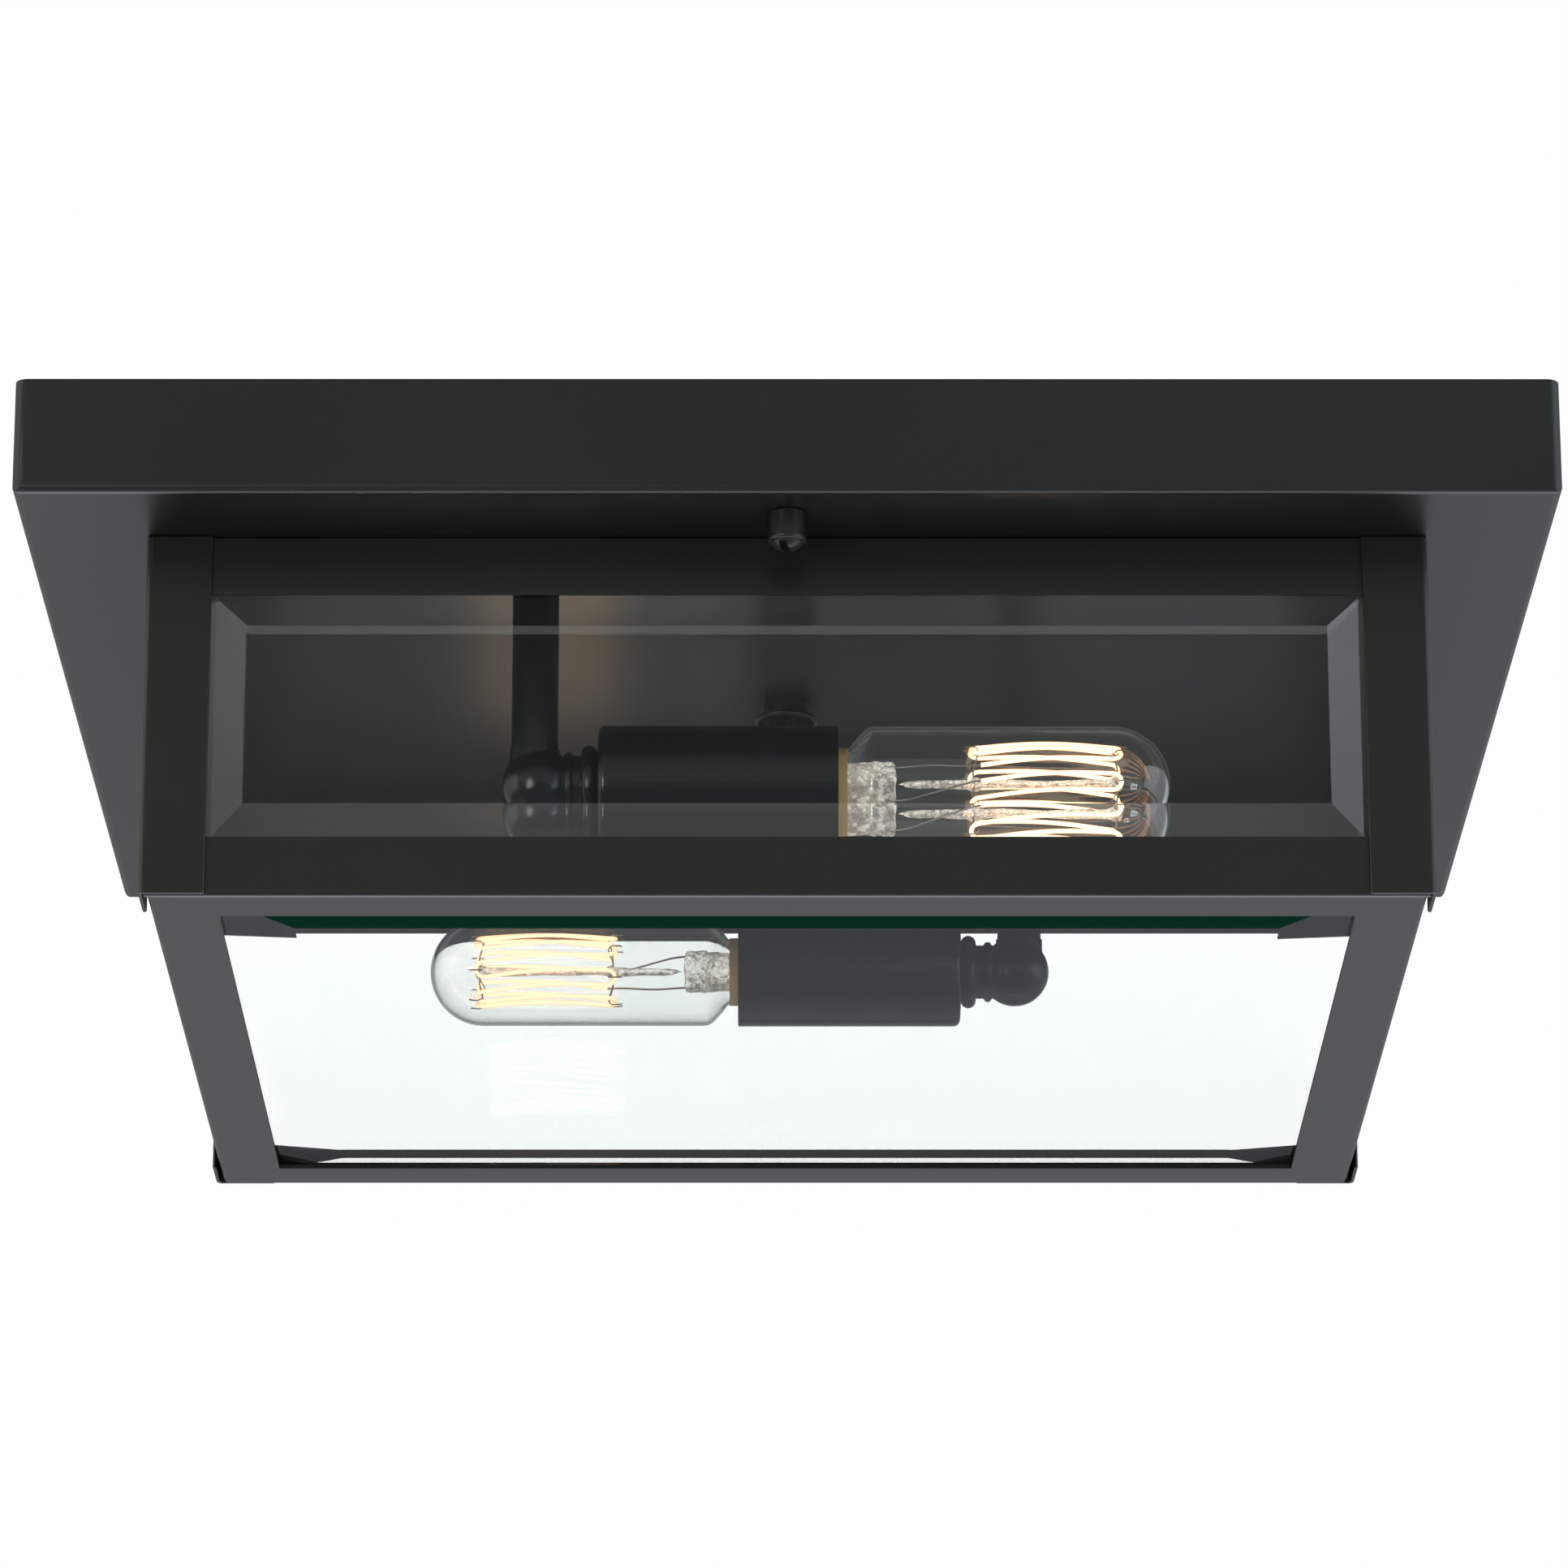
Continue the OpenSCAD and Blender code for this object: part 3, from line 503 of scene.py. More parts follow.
def facing_away(tree, x, y):
    """How far a surface turns from the eye, from 0 where it faces it to 1 at its outline."""
    node = add_node(tree, "ShaderNodeLayerWeight", x, y)
    node.inputs["Blend"].default_value = 0.5
    return node.outputs["Facing"]


def blown_glass(finish):
    """The bulbs' thin glass, with a faint painted glow all over and a painted highlight at its outline."""
    painted_rim_from = 0.6
    tree, shader = clear_glass("bulb_glass", (0.985, 0.99, 0.99), 1.5)
    away = facing_away(tree, -600, -200)
    # painted light: the glass gives off a faint glow, brighter towards its outline
    painted_glow = smooth_step(tree, away, painted_rim_from, 1, finish.painted_bulb_veil, finish.painted_bulb_rim, -400, -200)
    give_off(tree, shader, painted_glow)


def drawn_glass(finish):
    """Pinched and crinkled glass: finely lumpy, with a painted sparkle that it gives off where its pattern
    is high.
    """
    lump_scale, lump_detail, lump_depth = 600, 2, 0.0012
    dull_at, bright_at = 0.47, 0.66
    painted_dim_glow = (0.015, 0.015, 0.014)
    tree, shader = new_material("press_glass", finish.press_color)
    lumps = noise(tree, lump_scale, lump_detail, -700, -300)
    uneven = bumps(tree, lumps, 1, lump_depth, -300, -300)
    fill(tree, shader, {"Roughness": 0.08, "Transmission Weight": 0.85, "Normal": uneven})
    # painted sparkle: the lumps' pattern makes the glass give off light, dim or bright
    painted_sparkle_share = rescale(tree, lumps, dull_at, bright_at, 0, 1, -500, 0)
    give_off(tree, shader, mix(tree, "RGBA", painted_sparkle_share, painted_dim_glow, finish.painted_press_sparkle, -200, 100))


def glowing_wire(finish):
    """Hot wire: nearly white where it faces the eye, deep orange at its edges."""
    core_to, edge_from = 0.25, 0.85
    tree, shader = new_material("filament", finish.glow_edge)
    turned_away = rescale(tree, facing_away(tree, -600, -200), core_to, edge_from, 0, 1, -400, -200)
    glow = mix(tree, "RGBA", turned_away, finish.glow_core, finish.glow_edge, -200, -200)
    give_off(tree, shader, glow, finish.glow_strength)


# Properties


class FinishSettings(bpy.types.PropertyGroup):
    """Colours and gloss of the metal and the glass."""

    bronze: FloatVectorProperty(
        name="Bronze paint", description="Colour of the canopy and cage", subtype="COLOR",
        size=3, min=0, max=1, default=(0.0112, 0.0127, 0.0090),
    )
    charcoal: FloatVectorProperty(
        name="Lampholder paint", description="Colour of the stems, elbows and cups", subtype="COLOR",
        size=3, min=0, max=1, default=(0.0085, 0.010, 0.0115),
    )
    edge_width: FloatProperty(
        name="Edge rounding", description="Width of the rounding on the sheet's edges", unit="LENGTH",
        min=0, max=0.001, default=0.00055,
    )
    gloss: FloatProperty(
        name="Roughness", description="Roughness of the canopy's paint", min=0, max=1, default=0.34,
    )
    flat_tint: FloatVectorProperty(
        name="Flat tint", description="Faint colour of the panes' flat faces", subtype="COLOR",
        size=3, min=0, max=1, default=(0.972, 0.983, 0.974),
    )
    glass_tint: FloatVectorProperty(
        name="Glass tint", description="Colour that the panes take on through their thickness",
        subtype="COLOR", size=3, min=0, max=1, default=(0.30, 0.66, 0.54),
    )
    glass_density: FloatProperty(
        name="Glass density", description="How fast the tint deepens, per metre", min=0, max=200, default=8,
    )
    # painted glow that the floor pane's front bevel gives off
    painted_rim_glow: FloatVectorProperty(
        name="Rim glow", description="Colour of the light that the floor pane traps", subtype="COLOR",
        size=3, min=0, max=1, default=(0.0012, 0.023, 0.0125),
    )
    # painted glow that the bulbs' glass gives off, faint all over and brighter at the outline
    painted_bulb_veil: FloatProperty(
        name="Bulb veil", description="Light that the bulb's glass catches all over", min=0, max=1,
        default=0.005,
    )
    painted_bulb_rim: FloatProperty(
        name="Bulb rim", description="Light that the bulb's glass catches at its outline", min=0, max=1,
        default=0.07,
    )
    press_color: FloatVectorProperty(
        name="Press", description="Colour of the crinkled glass in the bulb", subtype="COLOR",
        size=3, min=0, max=1, default=(0.95, 0.93, 0.88),
    )
    # painted sparkle that the crinkled glass gives off
    painted_press_sparkle: FloatVectorProperty(
        name="Press sparkle", description="Light that the crinkled glass catches", subtype="COLOR",
        size=3, min=0, max=1, default=(0.36, 0.33, 0.29),
    )
    glow_core: FloatVectorProperty(
        name="Glow core", description="Colour of the hot wire's middle", subtype="COLOR",
        size=3, min=0, max=1, default=(1.0, 0.84, 0.58),
    )
    glow_edge: FloatVectorProperty(
        name="Glow edge", description="Colour of the hot wire's edges", subtype="COLOR",
        size=3, min=0, max=1, default=(1.0, 0.38, 0.11),
    )
    glow_strength: FloatProperty(
        name="Glow strength", description="Brightness of the glowing wire", min=0, max=200, default=1.9,
    )


class BulbSettings(bpy.types.PropertyGroup):
    """Sizes of the bulbs that the frame doesn't give."""

    wall: FloatProperty(
        name="Wall", description="Thickness of the bulb's glass", unit="LENGTH", min=0.0003, max=0.002,
        default=0.0009,
    )
    neck_radius: FloatProperty(
        name="Neck radius", description="Radius of the glass where it enters the base", unit="LENGTH",
        min=0.005, max=0.015, default=0.0094,
    )
    cage_radius: FloatProperty(
        name="Filament cage radius", description="Distance of the glowing wire from the bulb's axis",
        unit="LENGTH", min=0.005, max=0.014, default=0.010,
    )
    wire: FloatProperty(
        name="Filament thickness", description="Thickness of the glowing wire", unit="LENGTH",
        min=0.0002, max=0.002, default=0.0012,
    )
    twist: FloatProperty(
        name="Twist", description="Turn of the glowing wire from one end of the cage to the other",
        subtype="ANGLE", default=math.radians(12),
    )
    arch: FloatProperty(
        name="Arch", description="How far the middle of the glowing wire arches up", unit="LENGTH",
        default=0.0011,
    )
    hook: FloatProperty(
        name="Hook thickness", description="Thickness of the hooks' wire", unit="LENGTH", default=0.0004,
    )
    lead: FloatProperty(
        name="Lead thickness", description="Thickness of the two leads", unit="LENGTH", default=0.0006,
    )
    lines: IntProperty(
        name="Filament lines", description="Stretches of wire from end to end of the cage", min=4,
        max=24, default=14,
    )


class StageSettings(bpy.types.PropertyGroup):
    """Camera, floor and light."""

    elevation: FloatProperty(
        name="Camera elevation", description="How steeply the camera looks up", subtype="ANGLE",
        default=math.radians(18.31),
    )
    azimuth: FloatProperty(
        name="Camera azimuth", description="How far the camera looks to the right", subtype="ANGLE",
        default=math.radians(0.11),
    )
    roll: FloatProperty(
        name="Camera roll", description="Turn of the camera about its own axis", subtype="ANGLE",
        default=math.radians(-0.03),
    )
    distance: FloatProperty(
        name="Camera distance", description="From the camera to the middle of the canopy's underside",
        unit="LENGTH", min=0.5, max=10, default=2.0813,
    )
    lens: FloatProperty(
        name="Lens", description="Focal length on a 36 mm sensor", min=10, max=500, default=167.96,
    )
    shift_right: FloatProperty(
        name="Aim to the right", description="Where the camera aims, right of the middle",
        unit="LENGTH", default=-0.0006,
    )
    shift_up: FloatProperty(
        name="Aim upwards", description="Where the camera aims, above the middle", unit="LENGTH",
        default=-0.0205,
    )
    left_color: FloatVectorProperty(
        name="Left light", description="Colour of the soft light from the left", subtype="COLOR", size=3,
        min=0, max=2, default=(1.02, 1.03, 0.97),
    )
    right_color: FloatVectorProperty(
        name="Right light", description="Colour of the soft light from the right", subtype="COLOR", size=3,
        min=0, max=2, default=(1.02, 1.10, 1.22),
    )
    floor_color: FloatVectorProperty(
        name="Mirrored floor", description="Colour of the floor as metal and glass mirror it",
        subtype="COLOR", size=3, min=0, max=2, default=(0.98, 0.98, 1.09),
    )
    room_light: FloatProperty(
        name="Room light", description="Strength of the soft light from the front", min=0, max=3,
        default=0.35,
    )
    front_light: FloatProperty(
        name="Front light", description="Strength of the soft light from below the horizon in front",
        min=0, max=3, default=0.45,
    )
    side_light: FloatProperty(
        name="Side lights", description="Strength of the soft light from the left and the right", min=0,
        max=5, default=1.4,
    )
    ceiling_light: FloatProperty(
        name="Ceiling light", description="Strength of the soft light from the front and above", min=0,
        max=3, default=0.8,
    )
    backdrop_light: FloatProperty(
        name="Backdrop light", description="Strength of the soft light from behind", min=0, max=3,
        default=0.43,
    )
    mirrored_backdrop: FloatProperty(
        name="Mirrored backdrop", description="Strength of the backdrop that the glass mirrors", min=0,
        max=3, default=0.13,
    )
    mirrored_floor: FloatProperty(
        name="Near floor", description="Strength of the near floor that the glass mirrors", min=0, max=3,
        default=0.012,
    )
    white_through_glass: FloatProperty(
        name="White through glass", description="Strength of the background seen through glass",
        min=0, max=3, default=1.84,
    )
    strip_light: FloatProperty(
        name="Strip light", description="Strength of the long light under the back, on the folds",
        min=0, max=10, default=4,
    )
    left_screen: FloatProperty(
        name="Left screen", description="Strength of the pale screen that the glass mirrors at the left",
        min=0, max=5, default=0.42,
    )
    right_screen: FloatProperty(
        name="Right screen", description="Strength of the pale screen that the glass mirrors at the right",
        min=0, max=5, default=1.8,
    )
    high_band: FloatProperty(
        name="High band", description="Strength of the pale band that the glass mirrors over the horizon",
        min=0, max=5, default=1.25,
    )
    low_band: FloatProperty(
        name="Low band", description="Strength of the pale band that the glass mirrors under the horizon",
        min=0, max=5, default=0.85,
    )
    dark_room: FloatProperty(
        name="Dark room", description="Strength of what the glass mirrors between the screens", min=0,
        max=5, default=0.1,
    )
    floor_size: FloatProperty(
        name="Floor size", description="Length of each side of the floor", unit="LENGTH", min=2, max=50,
        default=22,
    )
    floor_drop: FloatProperty(
        name="Floor", description="How far the floor lies below the ceiling", unit="LENGTH", min=0.5,
        max=5, default=2.4,
    )


# Operators


class LIGHT_OT_materials(bpy.types.Operator):
    """Make the finishes that several pieces share"""

    bl_idname = "porch_light.materials"
    bl_label = "Make the finishes"

    def execute(self, context):
        finish = context.scene.light_finish
        paint_group()
        painted("bronze_paint", finish.bronze, finish.gloss)
        painted("lampholder_paint", finish.charcoal, 0.25, peel=0.04, clouding=0.05)
        painted("ground_green", (0.03, 0.22, 0.07), 0.35)
        painted("foam", (0.02, 0.02, 0.02), 0.9, peel=0.8)
        painted("phenolic", (0.02, 0.02, 0.02), 0.5)
        painted("black_insulator", (0.01, 0.01, 0.01), 0.15, peel=0.02)
        painted("cement", (0.85, 0.55, 0.22), 0.7, peel=0.9, clouding=0.1)
        sealant = painted("sealant", (0.8, 0.83, 0.82), 0.4, peel=0.2)
        sealant.inputs["Transmission Weight"].default_value = 0.8
        plain_metal("zinc_steel", (0.62, 0.63, 0.65), 0.35)
        plain_metal("brass", (0.80, 0.58, 0.25), 0.28)
        plain_metal("solder", (0.6, 0.6, 0.6), 0.4)
        plain_metal("support_wire", (0.35, 0.33, 0.31), 0.35)
        pane_glass(finish)
        blown_glass(finish)
        drawn_glass(finish)
        glowing_wire(finish)
        for name, node in frame["nodes"].items():
            node.data.materials.clear()
            node.data.materials.append(look(record_slot(name)))
        return {"FINISHED"}


def rounded_copy(node, width):
    """A merged copy of a CAD node, rounded at its edges as cut, folded and painted sheet is."""
    flat_within, fold_from = math.radians(0.5), math.radians(32)
    source = frame["nodes"][node]
    body = body_of(source)[0]
    slot = record_slot(node)
    pick(source)
    bpy.ops.object.duplicate()
    piece = bpy.context.object
    bpy.ops.object.parent_clear(type="CLEAR_KEEP_TRANSFORM")
    bpy.ops.object.mode_set(mode="EDIT")
    bpy.ops.mesh.select_all(action="SELECT")
    bpy.ops.mesh.remove_doubles(threshold=MERGE)
    bpy.ops.mesh.dissolve_limited(angle_limit=flat_within)
    bpy.ops.object.mode_set(mode="OBJECT")
    bpy.ops.object.shade_smooth()
    edges = piece.modifiers.new("Edges", "BEVEL")
    edges.width = width
    edges.segments = 2
    edges.limit_method = "ANGLE"
    edges.angle_limit = fold_from
    # large faces alone decide the normals, so that they stay flat up to the rounding
    flats = piece.modifiers.new("Flats", "WEIGHTED_NORMAL")
    flats.weight = 100
    apply_modifiers(piece)
    finish_piece(piece, node + "_painted", look(slot), slot, body, node)


class LIGHT_OT_edges(bpy.types.Operator):
    """Round the cut and folded edges of the painted metalwork"""

    bl_idname = "porch_light.edges"
    bl_label = "Rounded edges"

    def execute(self, context):
        width = context.scene.light_finish.edge_width
        rounded_copy("canopy_shell", width)
        for corner in ("front_left", "front_right", "rear_left", "rear_right"):
            rounded_copy("post_" + corner, width)
        for side in ("front", "rear", "left", "right"):
            for level in ("top_rail_", "bottom_rail_"):
                rounded_copy(level + side, width)
        return {"FINISHED"}


def envelope_outline(size, neck):
    """A bulb's glass as (distance, radius): neck, flare, rounded shoulder, tube and round end."""
    cement, radius = size.cement, size.radius
    flare, bend = 5.6 * MM, 1.6 * MM
    tube_steps, dome_steps = 4, 36
    shoulder = cement + flare
    dome = size.tip - radius
    wider = radius - neck
    slope = wider / (shoulder - cement)
    # the neck bends outwards a little later than the straight flare would
    outline = [
        (size.neck, neck), (cement - 1.5 * MM, neck), (cement, neck + 0.1 * MM),
        (cement + bend / 2, neck + slope * bend * 0.35),
    ]
    for share in (0.25, 0.45, 0.65, 0.8):
        outline.append((cement + share * (shoulder - cement), neck + share * wider))
    # the shoulder's rounding, from the flare into the tube
    outline += [
        (shoulder - 0.4 * MM, radius - 0.75 * MM), (shoulder + 0.3 * MM, radius - 0.28 * MM),
        (shoulder + 1.2 * MM, radius - 0.06 * MM), (shoulder + 2.4 * MM, radius),
    ]
    for step in range(1, tube_steps):
        outline.append((shoulder + (dome - shoulder) * step / tube_steps, radius))
    for step in range(dome_steps):
        angle = math.pi / 2 * step / dome_steps
        outline.append((dome + radius * math.sin(angle), radius * math.cos(angle)))
    return outline


class LIGHT_OT_bulb_glass(bpy.types.Operator):
    """Blow the two tubular bulbs from their necks to their round ends"""

    bl_idname = "porch_light.bulb_glass"
    bl_label = "Bulb glass"

    def execute(self, context):
        bulb = context.scene.light_bulb
        for end in LAMPS:
            piece = turned(envelope_outline(LampSizes(end), bulb.neck_radius), sides=96, close_end=True)
            wall = piece.modifiers.new("Wall", "SOLIDIFY")
            wall.thickness = bulb.wall
            wall.offset = -1
            apply_modifiers(piece)
            shade(piece, degrees=50)
            at_lamp(piece, end)
            finish_piece(piece, "bulb_envelope_" + end, look("bulb_glass"), "bulb_glass",
                         "bulb_" + end, "bulb_glass_" + end)
        return {"FINISHED"}


def flared_tube(size, wall):
    """The glass tube inside a bulb, pinched flat at its end as with hot tongs."""
    start = size.press_start
    wide_r, tube_r = 9.3 * MM - wall, 5.6 * MM
    # each stretch of the press, as how much wider and thinner it is than the one before
    pinches = ((1.04, 0.86), (1.06, 0.7), (1.03, 0.78), (1.0, 0.95), (1.0, 1.0), (0.97, 0.93))
    # 5.2 stretches are as long as the press, and the rest of the last one is its fused end
    stretch = size.press_length / 5.2
    tube = turned([
        (start - 17 * MM, wide_r), (start - 15.5 * MM, 6.2 * MM), (start - 13 * MM, tube_r),
        (start - 2 * MM, tube_r),
    ], sides=40)
    bpy.ops.object.mode_set(mode="EDIT")
    select_verts(tube, lambda place: place.x > start - 2.5 * MM)
    for wide, thin in pinches:
        bpy.ops.mesh.extrude_edges_move(TRANSFORM_OT_translate={"value": (stretch, 0, 0)})
        bpy.ops.transform.resize(value=(1, thin, wide), center_override=(0, 0, 0))
    bpy.ops.mesh.edge_face_add()
    bpy.ops.mesh.select_all(action="SELECT")
    bpy.ops.mesh.normals_make_consistent(inside=False)
    bpy.ops.object.mode_set(mode="OBJECT")
    return tube


def rod_outline(size):
    """The rod that holds the hooks as (distance, radius), with a button at each end of the cage."""
    rod_r, button_r = 1.1 * MM, 1.9 * MM
    half, foot, edge = 1.5 * MM, 0.4 * MM, 0.3 * MM
    near, far = size.button_near, size.button_far

    def button(middle_x):
        return [
            (middle_x - half - foot, rod_r), (middle_x - half, button_r - edge),
            (middle_x - half / 2, button_r), (middle_x + half / 2, button_r),
        ]

    return [
        (size.press_end - 1 * MM, rod_r), *button(near), (near + half, button_r - edge),
        (near + half + foot, rod_r), *button(far), (far + half - edge, button_r - foot),
        (far + half, button_r - 1.2 * MM),
    ]


class LIGHT_OT_bulb_press(bpy.types.Operator):
    """Draw the glass stem inside each bulb: flared tube, pinched press, rod and two buttons"""

    bl_idname = "porch_light.bulb_press"
    bl_label = "Glass stem and press"

    def execute(self, context):
        size = LampSizes("front")
        lump_size, lump_height = 0.0024, 0.0014
        tube = flared_tube(size, context.scene.light_bulb.wall)
        rod = turned(rod_outline(size), sides=24, close_start=True, close_end=True)
        join([tube, rod])
        lumps = bpy.data.textures.new("press_lumps", "CLOUDS")
        lumps.noise_scale = lump_size
        fine = tube.modifiers.new("Even", "SUBSURF")
        fine.levels = fine.render_levels = 2
        wavy = tube.modifiers.new("Lumps", "DISPLACE")
        wavy.texture = lumps
        wavy.strength = lump_height
        wavy.mid_level = 0.5
        apply_modifiers(tube)
        shade(tube, degrees=60)
        place_at_lamps(tube, "bulb_press", "glass_stem", "bulb_glass", "press_glass")
        return {"FINISHED"}


def line_angle(bulb, line):
    """Where on the cage's circle a line of the filament starts."""
    return 2 * math.pi / bulb.lines * (line + 0.5)


def cage_point(bulb, size, angle, share):
    """A point of the glowing wire, share of the way from the near to the far end of its cage."""
    turned_by = angle + bulb.twist * share
    return Vector((
        size.cage_near + share * (size.cage_far - size.cage_near),
        -bulb.cage_radius * math.cos(turned_by),
        bulb.cage_radius * math.sin(turned_by) + bulb.arch * math.sin(math.pi * share),
    ))


def filament_path(bulb, size):
    """The wire's points, to and fro along the cage, with half a turn from each line to the next."""
    line_steps, turn_steps = 14, 8
    path = []
    for line in range(bulb.lines):
        forward = line % 2 == 0
        angle = line_angle(bulb, line)
        for step in range(line_steps + 1):
            share = step / line_steps
            path.append(cage_point(bulb, size, angle, share if forward else 1 - share))
        if line == bulb.lines - 1:
            break
        share, side = (1, 1) if forward else (0, -1)
        start = cage_point(bulb, size, angle, share)
        centre = (start + cage_point(bulb, size, line_angle(bulb, line + 1), share)) / 2
        out = Vector((side, 0, 0)) * size.turn_radius
        for step in range(1, turn_steps):
            turn = math.pi * step / turn_steps
            path.append(centre + (start - centre) * math.cos(turn) + out * math.sin(turn))
    return path


class LIGHT_OT_filament(bpy.types.Operator):
    """Wind the glowing wire of each bulb to and fro round its cage of supports"""

    bl_idname = "porch_light.filament"
    bl_label = "Glowing wire"

    def execute(self, context):
        bulb = context.scene.light_bulb
        wire = tube_along(filament_path(bulb, LampSizes("front")), bulb.wire / 2, resolution=3)
        shade(wire, degrees=60)
        place_at_lamps(wire, "bulb_filament", "glowing_wire", "filament")
        return {"FINISHED"}


def hook_points(bulb, size, turn):
    """A hook's wire: out from its button, over a turn of the filament and on past it."""
    at_far_end = turn % 2 == 0
    angle = line_angle(bulb, turn + 0.5) + (bulb.twist if at_far_end else 0)
    out = Vector((0, -math.cos(angle), math.sin(angle)))
    ahead = Vector((1 if at_far_end else -1, 0, 0))
    across = out.cross(ahead)
    button = Vector((size.button_far if at_far_end else size.button_near, 0, 0))
    reach = bulb.cage_radius
    # each point's way out from the axis in metres, and its ways forwards and aside in millimetres
    return [
        button + out * outwards + ahead * forwards * MM + across * aside * MM
        for outwards, forwards, aside in (
            (1.6 * MM, 0, 0), (reach * 0.35, 0.3, 0), (reach * 0.62, -0.2, 0), (reach * 0.80, -0.9, 0),
            (reach - 0.2 * MM, -1.1, 0), (reach + 0.9 * MM, -0.3, 0.2), (reach + 0.9 * MM, 1.4, 0.3),
            (reach + 0.7 * MM, 2.9, 0.2),
        )
    ]


def lead_points(bulb, size, line):
    """A lead's wire: out of the press, and up or down to an end of the filament."""
    end = cage_point(bulb, size, line_angle(bulb, line), 0)
    rise = math.copysign(size.press_width / 2 - 1.5 * MM, end.z)
    start = Vector((size.press_end - 4 * MM, 0, rise))
    # it bows outwards on the way, and comes in again before it meets the wire
    return [
        start, start + Vector((5 * MM, 0, 0)), start.lerp(end, 0.45) + Vector((0, 0, rise * 0.12)),
        start.lerp(end, 0.8) + Vector((0, 0, -rise * 0.03)), end + Vector((-1 * MM, 0, 0)), end,
    ]


class LIGHT_OT_supports(bpy.types.Operator):
    """Bend the hooks that carry the glowing wire and the two leads from the press"""

    bl_idname = "porch_light.supports"
    bl_label = "Hooks and leads"

    def execute(self, context):
        bulb = context.scene.light_bulb
        size = LampSizes("front")
        wires = []
        for turn in range(bulb.lines - 1):
            wires.append(tube_along(hook_points(bulb, size, turn), bulb.hook / 2, resolution=2))
        for line in (0, bulb.lines - 1):
            wires.append(tube_along(lead_points(bulb, size, line), bulb.lead / 2, resolution=2))
        supports = join(wires)
        shade(supports, degrees=60)
        place_at_lamps(supports, "bulb_supports", "hooks_and_leads", "support_wire")
        return {"FINISHED"}


def pale_floor(stage):
    """A pale floor that the metal and the glass mirror as part of the backdrop."""
    tree, shader = new_material("pale_floor", (0.85, 0.85, 0.84))
    shader.inputs["Roughness"].default_value = 0.8
    room, strip, backdrop = stage.room_light, stage.strip_light, stage.backdrop_light
    place = add_node(tree, "ShaderNodeTexCoord", -700, 300)
    y = axes(tree, place.outputs["Object"], -500, 300)[1]
    # how far behind the object, as a share of how far below it
    behind = maths(tree, "DIVIDE", y, stage.floor_drop, -400, 450)
    # as metal mirrors it: the room's light in front, a long strip under the back, the backdrop's beyond
    soft = ramp(tree, behind, (
        (-0.15, room), (0.08, strip), (0.85, strip), (1.23, backdrop), (2.3, backdrop),
    ), -200, 300)
    # as clear glass mirrors it
    sharp = ramp(tree, behind, (
        (2.15, stage.mirrored_floor), (2.6, stage.mirrored_backdrop),
    ), -200, 600)
    path = add_node(tree, "ShaderNodeLightPath", -900, 700)
    bounced = maths(tree, "GREATER_THAN", path.outputs["Glossy Depth"], 0.5, -700, 700)
    mirrored = times(tree, path.outputs["Is Glossy Ray"], bounced, -500, 700)
    strength = mix(tree, "FLOAT", path.outputs["Is Singular Ray"], soft, sharp, -100, 400)
    shine = add_node(tree, "ShaderNodeEmission", 100, 300)
    fill(tree, shine, {"Color": stage.floor_color, "Strength": strength})
    mix_shaders(tree, mirrored, shader.outputs["BSDF"], shine.outputs["Emission"], 300, 200)


def mirrored_screens(tree, stage, x, y, z):
    """What clear glass mirrors: a pale screen on each side, and pale bands at the horizon."""
    left, right, dark = stage.left_screen, stage.right_screen, stage.dark_room
    under, over = stage.low_band, stage.high_band
    beside = ramp(tree, x, (
        (-0.6, left), (-0.22, left), (-0.1, dark), (0.1, dark), (0.22, right), (0.6, right),
    ), -700, 1300)
    before = ramp(tree, z, (
        (-0.3, under), (-0.05, under), (-0.02, dark), (0.12, dark), (0.15, over), (0.26, over),
        (0.29, dark),
    ), -700, 1600)
    screens = maths(tree, "MAXIMUM", beside, before, 0, 1400)
    behind = smooth_step(tree, y, -0.2, 0.3, 0, 1, -100, 1100)
    return mix(tree, "FLOAT", behind, screens, stage.mirrored_backdrop, 200, 1200)


def soft_light(tree, stage, x, y, z):
    """What lights the metal: the room in front and above, a light on each side, and the backdrop."""
    room, side = stage.room_light, stage.side_light
    ahead = ramp(tree, z, (
        (-0.5, room), (-0.35, stage.front_light), (-0.02, stage.front_light), (0.15, room),
        (0.45, room), (0.9, stage.ceiling_light),
    ), -900, 900)
    beside = ramp(tree, x, (
        (-0.85, side), (-0.65, 0), (0.65, 0), (0.85, side),
    ), -900, 1900)
    brightest = maths(tree, "MAXIMUM", ahead, beside, -500, 1000)
    behind = smooth_step(tree, y, -0.3, 0.6, 0, 1, -900, 700)
    return mix(tree, "FLOAT", behind, brightest, stage.backdrop_light, -300, 700)


